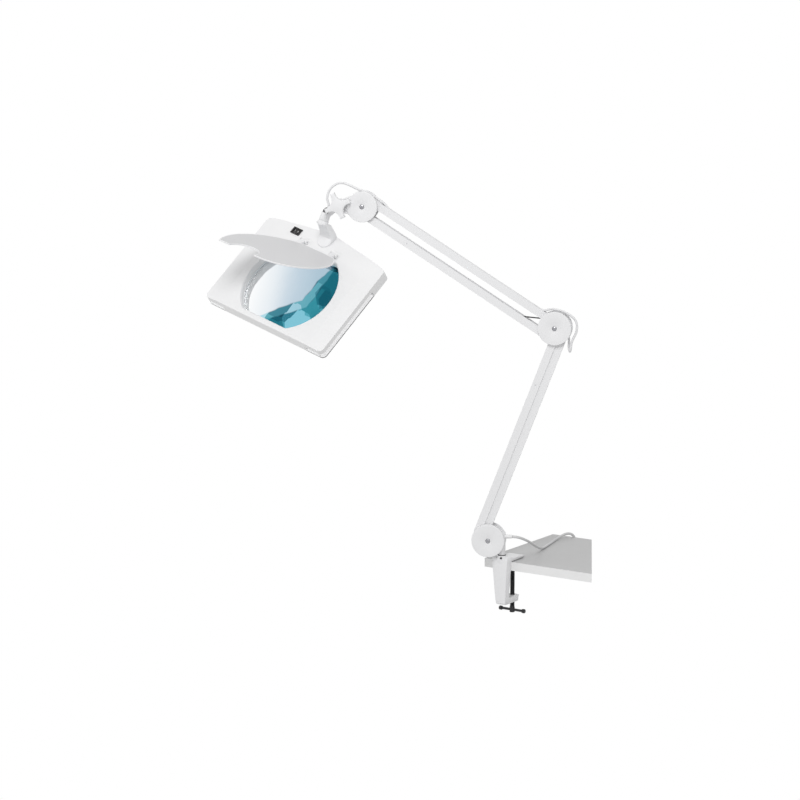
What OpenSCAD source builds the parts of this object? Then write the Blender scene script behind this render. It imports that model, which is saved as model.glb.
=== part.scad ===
// Illuminated bench magnifier on a twin-bar spring arm with a table clamp.
// Millimetres, +Z up. The origin is on the clamp screw's axis, in the plane of the table top: the lower
// face of the jaw pad. +Y runs into the table and +X along its edge.

/* [Table clamp] */
// Thickness of the table top that is held
table_t = 16.5; // [8:0.5:40]
// Screw axis to the inner face of the spine
throat_depth = 30; // [24:1:45]
// Clear height between the two jaws
throat_h = 70; // [64:1:100]
// Width of the spine at the upper jaw
spine_top_w = 31; // [26:1:40]
// Width of the spine at the lower jaw
spine_foot_w = 18; // [16:1:24]
// Depth of the spine, front to back
spine_depth = 16; // [15:0.5:22]
// Thickness of the upper jaw
upper_jaw_t = 5.5; // [4:0.5:9]
// Thickness of the lower jaw
lower_jaw_t = 12; // [8:1:18]
// Reach of the upper jaw past the screw axis
jaw_reach = 16; // [12:1:30]
// Thickness of the jaw pad
jaw_pad_t = 1.5; // [1:0.5:4]
// Diameter of the clamp screw
screw_d = 9; // [8:0.5:12]
// Length of the clamp screw
screw_l = 86; // [80:1:110]
// Diameter of the pressure pad
pad_d = 22; // [16:1:30]
// Thickness of the pressure pad
pad_t = 5; // [4:0.5:8]
// Length of the T-bar between its knobs
t_bar_l = 44; // [36:1:70]
// Diameter of the T-bar
t_bar_d = 5; // [4:0.5:6]

/* [Post] */
// Diameter of the post in its bush
post_d = 10; // [8:0.5:11]
// Diameter of the post's visible shoulder
post_shoulder_d = 13; // [12:0.5:16]
// Height of the clamp's post boss above the table top
post_boss_z = 14; // [12:0.5:20]
// Depth of the post in the clamp, below the table top
post_depth = 28; // [20:1:50]
// Turn of the arm on the post, in degrees from +X
arm_yaw = 24; // [-60:1:60]

/* [Joint brackets] */
// Inside gap between the two cheeks of a bracket
cheek_gap = 18; // [18:0.5:24]
// Thickness of a cheek
cheek_t = 2.5; // [2:0.5:4]
// Diameter of the base and elbow covers
cover_d = 62; // [60:1:72]
// Diameter of the head joint's covers
head_cover_d = 57; // [56:1:66]
// Thickness of a cover's face
cover_t = 3.5; // [3:0.5:5]
// Diameter of a pivot pin
pin_d = 5; // [4:0.5:6]
// Diameter of a bracket's middle boss
boss_d = 10; // [8:0.5:11]
// Diameter of the head joint's middle boss
head_boss_d = 6.6; // [6:0.2:7]
// Base bracket's middle, left of the post
base_back = 25; // [22:1:30]
// Height of the base bracket's middle above the table top
base_z = 42; // [40:1:60]

/* [Arms] */
// Distance between a bar's two pivots
arm_l = 400; // [300:5:500]
// Width of a bar, seen from the side
bar_w = 14.2; // [13:0.2:15]
// Depth of the wide bar of each pair
bar_depth = 16; // [15:0.5:17]
// Wall of a bar
bar_wall = 1.5; // [1:0.1:2]
// Distance between the lower arm's two bars
lower_gap = 14; // [13.5:0.5:16]
// Distance between the upper arm's two bars
upper_gap = 28; // [26:0.5:30]
// Rise of the lower arm, in degrees
lower_rise = 69.1; // [60:0.5:80]
// Rise of the upper arm towards the head, in degrees
upper_rise = 32.5; // [15:0.5:45]
// Diameter of a balance spring
spring_d = 10; // [8:0.5:11]
// Thickness of the spring wire
spring_wire = 1.6; // [1:0.1:2]
// Length of a balance spring
spring_l = 230; // [150:5:250]
// Diameter of a spring rod
rod_d = 2.5; // [2:0.5:3]

/* [Head joint] */
// Diameter of the hub between the knuckle's cheeks
hub_d = 20; // [18:1:24]
// Diameter of the branch from the hub to the neck
branch_d = 12.5; // [10:0.5:14]
// Diameter across the star knob's lobes
star_d = 50; // [40:1:56]
// Thickness of the star knob
star_t = 11; // [8:1:16]
// Diameter of the clamp bolt
bolt_d = 6; // [5:1:8]
// Diameter of the neck's spigot
spigot_d = 11; // [10:0.5:13]
// Tilt of the head on its hub, in degrees
head_tilt = 18; // [0:1:30]
// Swivel of the head about its neck, in degrees
head_swivel = -27.3; // [-40:0.1:10]

/* [Head] */
// Width of the head
head_w = 295; // [285:1:320]
// Lens middle to the front edge
head_front = 90; // [88:1:100]
// Lens middle to the back corners
head_side_back = 110; // [108:1:120]
// Lens middle to the back edge's middle
head_back = 132; // [128:1:145]
// Thickness of the head
head_t = 28; // [28:0.5:34]
// Wall of the housings
wall = 2.2; // [1.8:0.1:3]
// Corner radius of the head
corner_r = 9; // [6:1:14]
// Drop of the roof at the head's sides
side_drop = 6; // [3:0.5:8]
// Drop of the rear deck at the back edge
deck_drop = 2.5; // [0:0.5:4]

/* [Lens] */
// Diameter of the lens before it is trimmed
lens_d = 190; // [180:1:196]
// Length of the lens between its trimmed edges
lens_l = 157; // [145:1:160]
// Focal length of the lens
lens_focal = 400; // [380:5:600]
// Thickness of the lens at its rim
lens_edge = 2; // [1.5:0.5:3]
// Wall of the lens ring
ring_wall = 2; // [1.5:0.5:3]
// Thickness of the lens gasket
gasket_t = 1; // [0.8:0.1:1.5]

/* [Lens cover] */
// Thickness of the cover
lid_t = 2.5; // [2:0.1:3.5]
// Radius of the cover's rounded right side
lid_right_r = 93.5; // [88:0.5:98]
// Radius of the cover's flatter left side
lid_left_r = 115; // [108:1:120]
// Distance of both arcs' centres from the middle, the right one's to the left and the left one's to the right
lid_skew = 10; // [6:1:12]
// Opening of the cover at rest, in degrees
lid_open = 47; // [0:1:80]
// Distance from the middle to each hinge knuckle
hinge_x = 38; // [30:1:50]
// Diameter of the finger notch
notch_d = 59; // [44:1:64]
// Distance of the finger notch from the middle, to the left
notch_x = 35; // [20:1:44]

/* [Lamps] */
// Width of a lamp bay
bay_w = 44; // [40:1:46]
// Lens middle to the bay's back wall
bay_back = 65; // [60:1:70]
// Diameter of a lamp tube
tube_d = 12; // [11:0.5:12.5]
// Distance between a lamp's two tubes
tube_gap = 14; // [13.5:0.5:15]
// Visible length of a lamp's tubes
tube_l = 132; // [120:1:136]
// Length of a lamp's base
lamp_base_l = 35; // [25:1:38]
// Wall of the clear lamp covers
bay_wall = 1.4; // [1:0.1:2]

/* [Mains lead] */
// Diameter of the lead
cord_d = 5; // [4:0.5:6]
// Diameter of the lead inside the arms and in their loops
lead_d = 4.4; // [3:0.2:4.6]
// Mean radius of the coil
coil_r = 25.4; // [25:0.2:30]
// Turns in one layer of the coil
layer_turns = 2; // [2:1:3]
// Gap between neighbouring turns
coil_gap = 0.4; // [0.4:0.05:1]
// Length of the strain relief
relief_l = 24; // [20:1:40]
// Length of the plug's body
plug_l = 36; // [30:1:45]

/* [Fits] */
// Radial clearance of a running fit
run = 0.05; // [0.03:0.01:0.1]
// Gap between pieces that pass each other
pass = 0.4; // [0.3:0.1:0.6]

/* [Hidden] */
$fn = 48;
eps = 0.01;

post_y = throat_depth + spine_depth / 2;
pad_top = -table_t;
jaw_under = -throat_h;
cheek_in = cheek_gap / 2;
cheek_out = cheek_in + cheek_t;
narrow_depth = bar_depth - 2 * (bar_wall + 0.3);
hole_d = pin_d + 2 * run;

// In the arm's plane, points are [right, up], seen from the front.
function along(a) = [cos(a), sin(a)];
function turned(p, a) = [p[0] * cos(a) - p[1] * sin(a), p[0] * sin(a) + p[1] * cos(a)];

lower_dir = lower_rise;
upper_dir = 180 - upper_rise;
// Pivots, each from the middle of its bracket
base_front_pivot = [-20.2, 16.3];
elbow_front_pivot = [1.3, -13.3];
elbow_top_pivot = [-7.7, 13.6];
head_top_pivot = [14.2, 10.4];
base_rear_pivot = base_front_pivot + lower_gap * along(lower_dir - 90);
elbow_rear_pivot = elbow_front_pivot + lower_gap * along(lower_dir - 90);
elbow_bottom_pivot = elbow_top_pivot + upper_gap * along(upper_dir + 90);
head_bottom_pivot = head_top_pivot + upper_gap * along(upper_dir + 90);

base_c = [-base_back, base_z];
elbow_c = base_c + base_front_pivot + arm_l * along(lower_dir) - elbow_front_pivot;
head_c = elbow_c + elbow_top_pivot + arm_l * along(upper_dir) - head_top_pivot;
star_at = [-44, 2];
branch_end = [-28, -22];
hub_c = head_c + star_at;
neck_c = hub_c + branch_end;

module arm_plane() translate([0, -post_y, 0]) rotate(arm_yaw) children();
// Children are drawn flat, x right and y up, and stand in the arm's plane with +Z towards the viewer
module on_plane(p, a = 0) arm_plane() translate([p[0], 0, p[1]]) rotate([90, 0, 0]) rotate(a) children();

// ---------- Clamp ----------
module clamp_side() {
    front = -throat_depth - spine_depth;
    foot_front = front + 3;
    polygon([
        [front, post_boss_z - 5], [front, -20], [foot_front, jaw_under - lower_jaw_t + 3],
        [foot_front + 3, jaw_under - lower_jaw_t], [6, jaw_under - lower_jaw_t], [6, jaw_under],
        [-throat_depth, jaw_under], [-throat_depth, jaw_pad_t], [jaw_reach, jaw_pad_t],
        [jaw_reach, jaw_pad_t + upper_jaw_t - 2], [-throat_depth + 10, jaw_pad_t + upper_jaw_t],
        [-throat_depth, post_boss_z - 5]
    ]);
}

module clamp_front() {
    top = spine_top_w / 2;
    foot = spine_foot_w / 2;
    polygon([
        [-foot, jaw_under - lower_jaw_t - 1], [foot, jaw_under - lower_jaw_t - 1], [foot + 2, jaw_under],
        [top, -6], [top + 1, 0], [top + 1, 20], [-top - 1, 20], [-top - 1, 0], [-top, -6],
        [-foot - 2, jaw_under]
    ]);
}

module clamp_body() color("whitesmoke") difference() {
    union() {
        intersection() {
            rotate([90, 0, 90]) linear_extrude(2 * spine_top_w, center = true) clamp_side();
            rotate([90, 0, 0]) linear_extrude(6 * throat_depth, center = true) clamp_front();
        }
        translate([0, -post_y, 0]) cylinder(d = post_shoulder_d + 5, h = post_boss_z - 1);
        translate([0, -post_y, -post_depth - 4]) cylinder(d = post_d + 5.4, h = post_depth + 5);
        translate([0, 0, jaw_under - lower_jaw_t]) cylinder(d = screw_d + 9, h = lower_jaw_t);
    }
    translate([0, -post_y, -post_depth - 1]) cylinder(d = post_d + 3, h = post_depth + post_boss_z + 1);
    translate([0, 0, jaw_under - lower_jaw_t - 1]) cylinder(d = screw_d + 2 * run, h = lower_jaw_t + 2);
    set_screw_place() cylinder(d = 4, h = 12);
}

module jaw_pad() color("dimgray") translate([-spine_top_w / 2 + 1, -throat_depth + 2, 0])
    cube([spine_top_w - 2, throat_depth - 2 + jaw_reach - 1, jaw_pad_t]);

module post_bush() color("dimgray") translate([0, -post_y, 0]) difference() {
    union() {
        translate([0, 0, -post_depth - 1]) cylinder(d = post_d + 3, h = post_depth + post_boss_z);
        translate([0, 0, post_boss_z - 1]) cylinder(d = post_shoulder_d + 3, h = 1);
    }
    translate([0, 0, -post_depth - 2]) cylinder(d = post_d + 2 * run, h = post_depth + post_boss_z + 4);
}

module set_screw_place() translate([0, -post_y, post_boss_z - 5]) rotate([90, 0, 20])
    translate([0, 0, (post_d + 3) / 2]) children();

module post_set_screw() color("dimgray") set_screw_place() difference() {
    cylinder(d = 4, h = 3.4);
    translate([0, 0, 2]) cylinder(d = 2, h = 3, $fn = 6);
}

module pressure_pad() color("dimgray") translate([0, 0, pad_top - pad_t]) difference() {
    union() {
        translate([0, 0, pad_t - 2]) cylinder(d = pad_d, h = 2);
        cylinder(d1 = screw_d + 5, d2 = pad_d - 2, h = pad_t - 2);
    }
    translate([0, 0, -eps]) cylinder(d = screw_d - 2 + 2 * run, h = pad_t - 2 + eps);
}

screw_top = pad_top - 2;
t_bar_z = screw_top - screw_l + 5;
module clamp_screw() color("dimgray") difference() {
    union() {
        translate([0, 0, screw_top - pad_t + 2]) cylinder(d = screw_d - 2, h = pad_t - 2 - 0.05);
        translate([0, 0, t_bar_z + 5]) cylinder(d = screw_d, h = screw_top - pad_t + 2 - pass - t_bar_z - 5);
        translate([0, 0, screw_top - pad_t + 2 - pass]) cylinder(d = screw_d - 2, h = pass);
        translate([0, 0, t_bar_z - 5]) cylinder(d = screw_d + 1, h = 10);
    }
    translate([-screw_d, 0, t_bar_z]) rotate([0, 90, 0]) cylinder(d = t_bar_d + 2 * run, h = 2 * screw_d);
}

module screw_t_bar() color("dimgray") translate([0, 0, t_bar_z]) rotate([0, 90, 0]) {
    cylinder(d = t_bar_d, h = t_bar_l, center = true);
    for (side = [0, 180]) rotate([side, 0, 0]) translate([0, 0, t_bar_l / 2])
        rotate_extrude() polygon([[0, 0], [3.4, 0], [4, 0.8], [4, 5.2], [3.4, 6], [0, 6]]);
}

// ---------- Brackets with two cheeks ----------
module both_cheeks() for (side = [0, 1]) mirror([0, 0, side]) translate([0, 0, cheek_in]) children();

module cheek_pair(d) {
    both_cheeks() cylinder(d = d - 2 * cover_lip, h = cheek_t);
    cylinder(d = boss_d, h = cheek_gap, center = true);
}

cover_lip = 1.8;
cover_skirt = cheek_t - 0.3;
module cover(d) rotate_extrude() difference() {
    union() {
        translate([2.1, cheek_t]) square([d / 2 - 3.1, cover_t]);
        translate([2.1, cheek_t - cover_skirt]) square([d / 2 - 2.1, cover_skirt + cover_t - 1]);
        translate([d / 2 - 1, cheek_t + cover_t - 1]) circle(r = 1);
    }
    translate([-1, -eps]) square([d / 2 - cover_lip + 1 + 0.1, cheek_t + eps]);
    translate([-1, cheek_t + cover_t - 1]) square([5.6, 2]);
}

module cover_screws() both_cheeks() difference() {
    union() {
        translate([0, 0, -6]) cylinder(d = 4, h = 6 + cheek_t + cover_t - 1);
        translate([0, 0, cheek_t + cover_t - 1]) rotate_extrude()
            polygon([[0, 0], [4.3, 0], [4.3, 0.8], [3.6, 1.6], [2.4, 2.1], [0, 2.3]]);
    }
    for (a = [0, 90]) rotate(a) translate([-2.2, -0.45, cheek_t + cover_t + 0.2]) cube([4.4, 0.9, 3]);
}

module pin_holes(places) for (p = places) translate([p[0], p[1], 0])
    cylinder(d = pin_d, h = 2 * cheek_out + 2, center = true);

module pivot_pins(places) for (p = places) translate([p[0], p[1], 0])
    cylinder(d = pin_d, h = 2 * cheek_out, center = true);

module screw_hole() cylinder(d = 4, h = 2 * cheek_out + 2, center = true);

base_pivots = [base_front_pivot, base_rear_pivot];
elbow_pivots = [elbow_front_pivot, elbow_rear_pivot, elbow_top_pivot, elbow_bottom_pivot];
head_pivots = [head_top_pivot, head_bottom_pivot];

relief_z = 49;
relief_x = -5;
module base_bracket() color("gainsboro") difference() {
    union() {
        on_plane(base_c) cheek_pair(cover_d);
        arm_plane() {
            translate([0, 0, post_boss_z]) cylinder(d = post_shoulder_d, h = relief_z + 8 - post_boss_z);
            translate([0, 0, -post_depth]) cylinder(d = post_d, h = post_depth + post_boss_z);
            translate([relief_x, -cheek_in - 0.5, 27]) cube([6, cheek_gap + 1, relief_z + 8 - 27]);
        }
    }
    on_plane(base_c) {
        pin_holes(base_pivots);
        screw_hole();
    }
    relief_place() translate([0, 0, -20]) cylinder(d = 8, h = 40);
}

module base_covers() color("white") on_plane(base_c) both_cheeks() cover(cover_d);
module base_cover_screws() color("silver") on_plane(base_c) cover_screws();
module base_pivot_pins() color("silver") on_plane(base_c) pivot_pins(base_pivots);

module relief_place() arm_plane() translate([relief_x, 0, relief_z]) rotate([0, 90, 0]) children();
module cord_strain_relief() color("whitesmoke") relief_place() {
    translate([0, 0, -1]) cylinder(d = 8, h = relief_l / 2 + 1);
    translate([0, 0, relief_l / 2]) cylinder(d1 = 8, d2 = cord_d + 1.6, h = relief_l / 2);
}

// ---------- Bars ----------
module bar_outline() {
    translate([0, -bar_w / 2]) square([arm_l, bar_w]);
    for (x = [0, arm_l]) translate([x, 0]) circle(d = bar_w);
}

// A folded channel along +X from pivot to pivot; web is +1 or -1, the side that is closed
module bar(depth, web) difference() {
    linear_extrude(depth, center = true) bar_outline();
    scale([1, web, 1]) translate([-bar_w, -bar_w / 2 - 1, -depth / 2 + bar_wall])
        cube([arm_l + 2 * bar_w, bar_w + 1 - bar_wall, depth - 2 * bar_wall]);
    for (x = [0, arm_l]) translate([x, 0, 0]) cylinder(d = hole_d, h = depth + 2, center = true);
}
module spring_bar() difference() {
    bar(bar_depth, 1);
    translate([spring_pin_x, 0, 0]) cylinder(d = 3, h = bar_depth + 2, center = true);
}
// Slots in a bar's closed side, where the lead goes in or out
module lead_slots(places) for (x = places) translate([x, -bar_w, -lead_d / 2 - 0.6])
    cube([slot_l, bar_w - bar_wall, lead_d + 1.2]);

module front_bar_place() on_plane(base_c + base_front_pivot, lower_dir) children();
module rear_bar_place() on_plane(base_c + base_rear_pivot, lower_dir) children();
module top_bar_place() on_plane(elbow_c + elbow_top_pivot, upper_dir) children();
module bottom_bar_place() on_plane(elbow_c + elbow_bottom_pivot, upper_dir) children();

slot_l = 30;
module lower_front_bar() color("white") front_bar_place() spring_bar();
module lower_rear_bar() color("white") rear_bar_place() difference() {
    bar(narrow_depth, -1);
    lead_slots([2]);
}
module upper_top_bar() color("white") top_bar_place() difference() {
    bar(narrow_depth, -1);
    lead_slots([12, arm_l - slot_l - 20]);
}
module upper_bottom_bar() color("white") bottom_bar_place() spring_bar();

// ---------- Springs: each pulls on a pin of the other bar ----------
spring_y = 0.6;
spring_x = 62;
spring_pin_x = spring_x + spring_l + 8;
module spring() translate([spring_x, spring_y, 0]) rotate([0, 90, 0]) {
    difference() {
        cylinder(d = spring_d, h = spring_l);
        translate([0, 0, 4]) cylinder(d = spring_d - 2 * spring_wire, h = spring_l - 8);
    }
    translate([0, 0, spring_l]) cylinder(d = spring_wire + 1, h = 6.5);
}

module spring_rod(y) {
    run_x = spring_x - pin_d;
    difference() {
        cylinder(d = pin_d + 2 * run + 2 * rod_d, h = rod_d, center = true);
        cylinder(d = pin_d + 2 * run, h = rod_d + 1, center = true);
    }
    a = atan2(y, run_x);
    rotate(a) translate([pin_d / 2 + rod_d / 2, 0, 0]) rotate([0, 90, 0])
        cylinder(d = rod_d, h = norm([run_x, y]) - pin_d / 2 - rod_d / 2);
    translate([run_x - 1, y, 0]) rotate([0, 90, 0]) cylinder(d = rod_d + 1, h = pin_d + 1);
}

module spring_pin() translate([spring_pin_x, 0, 0]) cylinder(d = 3, h = bar_depth, center = true);

module lower_spring() color("silver") front_bar_place() spring();
module upper_spring() color("silver") bottom_bar_place() spring();
module lower_spring_rod() color("dimgray") front_bar_place() translate([0, -lower_gap, 0])
    spring_rod(lower_gap + spring_y);
module upper_spring_rod() color("dimgray") bottom_bar_place() translate([0, -upper_gap, 0])
    spring_rod(upper_gap + spring_y);
module lower_spring_pin() color("silver") front_bar_place() spring_pin();
module upper_spring_pin() color("silver") bottom_bar_place() spring_pin();

// ---------- Elbow ----------
module elbow_bracket() color("gainsboro") on_plane(elbow_c) difference() {
    cheek_pair(cover_d);
    pin_holes(elbow_pivots);
    screw_hole();
}
module elbow_covers() color("white") on_plane(elbow_c) both_cheeks() cover(cover_d);
module elbow_cover_screws() color("silver") on_plane(elbow_c) cover_screws();
module elbow_pivot_pins() color("silver") on_plane(elbow_c) pivot_pins(elbow_pivots);

// ---------- Head joint ----------
module knuckle_arm(gap = 0)
    polygon([[-6, 25 + gap], star_at + [3, 10.5 + gap], star_at + [-3, -10.5 - gap], [-6, -21 - gap]]);
module knuckle_outline() {
    circle(d = head_cover_d - 2 * cover_lip);
    knuckle_arm();
    translate(star_at) circle(d = hub_d + 2);
}

module head_knuckle() color("gainsboro") on_plane(head_c) difference() {
    union() {
        both_cheeks() linear_extrude(cheek_t) knuckle_outline();
        cylinder(d = head_boss_d, h = cheek_gap, center = true);
    }
    pin_holes(head_pivots);
    screw_hole();
    translate([star_at[0], star_at[1], 0]) cylinder(d = bolt_d, h = 2 * cheek_out + 2, center = true);
}

module knuckle_covers() color("white") on_plane(head_c) difference() {
    both_cheeks() cover(head_cover_d);
    both_cheeks() translate([0, 0, -eps]) linear_extrude(cheek_t + eps) knuckle_arm(run);
}
module knuckle_cover_screws() color("silver") on_plane(head_c) cover_screws();
module knuckle_pivot_pins() color("silver") on_plane(head_c) pivot_pins(head_pivots);

knob_z = cheek_out + cover_t + 1.5;
module star_outline() difference() {
    circle(d = star_d);
    for (a = [0 : 90 : 270]) rotate(a + 69) translate([star_d * 0.58, 0]) circle(d = star_d * 0.66);
}

module star_knob() color("white") on_plane(hub_c) difference() {
    union() {
        translate([0, 0, knob_z]) linear_extrude(star_t - 1) star_outline();
        translate([0, 0, knob_z + star_t - 1]) linear_extrude(1) scale(0.94) star_outline();
        translate([0, 0, cheek_out + 0.05]) cylinder(d = 15, h = knob_z - cheek_out);
    }
    translate([0, 0, cheek_out]) cylinder(d = bolt_d + 2 * run, h = star_t + 1);
}

module clamp_bolt() color("silver") on_plane(hub_c) {
    translate([0, 0, -cheek_out]) cylinder(d = bolt_d, h = 2 * cheek_out + star_t);
    translate([0, 0, -cheek_out - 4]) cylinder(d = bolt_d * 1.8, h = 4, $fn = 6);
}

// Axis of the neck's spigot, seen in the arm's plane
neck_a = 90 - head_tilt;
collar_h = 15;
grommet_d = spigot_d + 3;
grommet_z = collar_h / 2 + 4;
module tilt_hub() color("whitesmoke") difference() {
    union() {
        on_plane(hub_c) cylinder(d = hub_d, h = cheek_gap - 0.2, center = true);
        on_plane(hub_c, atan2(branch_end[1], branch_end[0])) rotate([0, 90, 0])
            cylinder(d = branch_d, h = norm(branch_end));
        on_plane(neck_c, neck_a) rotate([0, 90, 0])
            translate([0, 0, -collar_h / 2]) cylinder(d = spigot_d + 7, h = collar_h);
    }
    on_plane(hub_c) cylinder(d = bolt_d + 2 * run, h = cheek_gap + 2, center = true);
    on_plane(neck_c, neck_a) rotate([0, 90, 0]) {
        cylinder(d = spigot_d + 2 * run, h = 3 * collar_h, center = true);
        translate([0, 0, collar_h / 2]) cylinder(d = grommet_d + 2 * pass, h = collar_h);
    }
}

// ---------- Head frame: origin in the lens's middle, x right, y back, z up ----------
neck_at = [0, 137, 61];
spigot_rise = 35;
module at_head() arm_plane() translate([neck_c[0], 0, neck_c[1]]) rotate([0, head_tilt, 0])
    rotate(head_swivel) rotate([90 - spigot_rise, 0, 0]) translate(-neck_at) children();

half_t = head_t / 2;
deck_y = 92;
function deck_z(y) = half_t - deck_drop * (y - deck_y) / (head_back - deck_y);

// A rounded outline from corner points, with an arc of each corner's own radius
function corner(p, q, s, r, n) = let (
        u = (p - q) / norm(p - q), v = (s - q) / norm(s - q),
        half = acos(u * v) / 2,
        mid = q + (u + v) / norm(u + v) * r / sin(half),
        a0 = atan2((q + u * r / tan(half) - mid)[1], (q + u * r / tan(half) - mid)[0]),
        a1 = atan2((q + v * r / tan(half) - mid)[1], (q + v * r / tan(half) - mid)[0]),
        da = (a1 - a0) > 180 ? a1 - a0 - 360 : (a1 - a0) < -180 ? a1 - a0 + 360 : a1 - a0
    ) [for (i = [0 : n]) mid + r * along(a0 + da * i / n)];
function rounded(pts, r, n = 5) = [for (i = [0 : len(pts) - 1])
    each corner(pts[(i + len(pts) - 1) % len(pts)], pts[i], pts[(i + 1) % len(pts)], r, n)];

module head_outline(inset = 0) {
    x = head_w / 2 - inset;
    polygon(rounded([
        [-x, -head_front + inset], [x, -head_front + inset], [x, head_side_back - inset],
        [x - 14, head_side_back + 3 - inset], [0, head_back - inset], [-x + 14, head_side_back + 3 - inset],
        [-x, head_side_back - inset]
    ], corner_r - inset));
}

module roof_section(inset = 0) {
    x = head_w / 2;
    polygon([
        [-x, -half_t], [x, -half_t], [x, half_t - side_drop - inset], [x - 33, half_t - 1.5 - inset],
        [x - 64, half_t - inset], [64 - x, half_t - inset], [33 - x, half_t - 1.5 - inset],
        [-x, half_t - side_drop - inset]
    ]);
}

module deck_section(inset = 0) polygon([
    [-head_front - 1, -half_t], [head_back + 1, -half_t], [head_back + 1, deck_z(head_back + 1) - inset],
    [deck_y, half_t - inset], [-head_front + 4, half_t - inset], [-head_front - 1, half_t - 2.5 - inset]
]);

module head_block(inset = 0) intersection() {
    translate([0, 0, -half_t]) linear_extrude(head_t) head_outline(inset);
    rotate([90, 0, 0]) linear_extrude(3 * head_back, center = true) roof_section(inset);
    rotate([90, 0, 90]) linear_extrude(head_w + 2, center = true) deck_section(inset);
}

module lens_outline(grow = 0) intersection() {
    circle(d = lens_d + 2 * grow, $fn = 96);
    square([lens_d + 4 * grow + 2, lens_l + 2 * grow], center = true);
}

split_z = -1.5;
bay_in = head_w / 2 - bay_w;
screw_places = [[93, 84], [-93, 84], [-22, 111], [94, -82], [-94, -82]];
screw_sink = 2.5;

module hinge_pockets() for (side = [-1, 1]) translate([side * hinge_x - 13, deck_y - 14, half_t - 1.2])
    cube([26, 24, 3]);

switch_at = [-69, 106];
switch_cut = [17.4, 13];
module switch_place() translate([switch_at[0], switch_at[1], deck_z(switch_at[1])])
    rotate([-atan2(deck_drop, head_back - deck_y), 0, 0]) children();

module hinge_ears() for (side = [-1, 1], ear = [-1, 1])
    translate([side * hinge_x + ear * 8 - 1.5, deck_y, lid_axis_z]) rotate([0, 90, 0]) {
        cylinder(d = 8, h = 3);
        translate([0, -4, 0]) cube([lid_axis_z - half_t + 2.2, 8, 3]);
    }

module top_housing() color("white") at_head() difference() {
    union() {
        difference() {
            head_block();
            head_block(wall);
            translate([-head_w, -head_w, -half_t - 1]) cube([2 * head_w, 2 * head_w, half_t + 1 + split_z]);
        }
        intersection() {
            head_block();
            union() {
                translate([0, 0, split_z]) linear_extrude(half_t) difference() {
                    lens_outline(ring_wall + 2.4);
                    lens_outline(ring_wall + 0.3);
                }
                for (p = screw_places) translate([p[0], p[1], screw_sink + 1.5 - half_t])
                    cylinder(d = 9, h = head_t);
            }
        }
        hinge_ears();
    }
    translate([0, 0, -half_t]) linear_extrude(2 * head_t) lens_outline(ring_wall + 0.3);
    for (p = screw_places) translate([p[0], p[1], -half_t]) cylinder(d = 3, h = half_t + 4);
    difference() {
        hinge_pockets();
        hinge_ears();
    }
    switch_place() cube([switch_cut[0], switch_cut[1], 12], center = true);
    for (side = [-1, 1]) translate([side * hinge_x - 15, deck_y, lid_axis_z]) rotate([0, 90, 0])
        cylinder(d = 3, h = 30);
}

module bay_cut(grow = 0) for (side = [0, 1]) mirror([side, 0, 0])
    translate([bay_in - grow, -head_front - 5, -head_t])
        cube([bay_w + 10, head_front + 5 + bay_back + grow, 2 * head_t]);

module bottom_housing() color("white") at_head() difference() {
    union() {
        intersection() {
            difference() {
                head_block();
                translate([0, 0, wall]) head_block(wall);
            }
            difference() {
                translate([-head_w, -head_w, -half_t]) cube([2 * head_w, 2 * head_w, half_t + split_z]);
                bay_cut();
            }
        }
        intersection() {
            translate([0, 0, -half_t]) linear_extrude(half_t + split_z) head_outline(wall);
            difference() {
                union() {
                    bay_cut(wall);
                    translate([0, 0, -half_t]) linear_extrude(head_t) lens_outline(ring_wall + 2.4);
                }
                bay_cut();
            }
        }
        for (p = screw_places) translate([p[0], p[1], -half_t]) cylinder(d = 9, h = screw_sink + 1.5);
    }
    translate([0, 0, -half_t - 1]) linear_extrude(head_t) lens_outline(ring_wall + 0.3);
    for (p = screw_places) translate([p[0], p[1], -half_t - 1]) {
        cylinder(d = 3.4, h = head_t);
        cylinder(d = 7.4, h = screw_sink + 1);
    }
    each_bay() translate([lamp_x - 14.4, bay_back - 1, lamp_z - 7]) cube([28.8, wall + 2, half_t]);
}

module lens_ring() color("whitesmoke") at_head() {
    translate([0, 0, -half_t]) linear_extrude(head_t - 0.3) difference() {
        lens_outline(ring_wall);
        lens_outline(gasket_t);
    }
    difference() {
        translate([0, 0, -half_t]) linear_extrude(half_t - lens_edge / 2 - gasket_t) difference() {
            lens_outline(gasket_t);
            lens_outline(-2);
        }
        lens_blank(run);
    }
}

module lens_gasket() color("dimgray") at_head() translate([0, 0, -lens_edge / 2 - gasket_t])
    linear_extrude(lens_edge + gasket_t) difference() {
        lens_outline(gasket_t);
        lens_outline(0);
    }

lens_r = 2 * 0.523 * lens_focal;
lens_sag = lens_r - sqrt(lens_r * lens_r - lens_d * lens_d / 4);
lens_steps = 16;
function lens_z(r) = lens_edge / 2 + lens_sag - lens_r + sqrt(lens_r * lens_r - r * r);
module lens_blank(grow = 0) {
    rim = [for (i = [1 : lens_steps]) let (r = lens_d / 2 * i / lens_steps) [r + grow, lens_z(r) + grow]];
    middle = lens_z(0) + grow;
    rotate_extrude($fn = 96) polygon(concat(
        [[0, -middle], [0, middle]], rim, [for (i = [lens_steps - 1 : -1 : 0]) [rim[i][0], -rim[i][1]]]
    ));
}
module lens() color("powderblue") at_head() intersection() {
    lens_blank();
    cube([lens_d + 2, lens_l, head_t], center = true);
}

// ---------- Lens cover, drawn shut and swung open about its hinge ----------
lid_axis_z = half_t + 3.6;
module lid_place() at_head() translate([0, deck_y, lid_axis_z]) rotate([-lid_open, 0, 0])
    translate([0, -deck_y, -lid_axis_z]) children();

function arc(c, r, from, to, n = 32) =
    [for (i = [0 : n]) let (a = from + (to - from) * i / n) c + r * [cos(a), sin(a)]];

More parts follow.
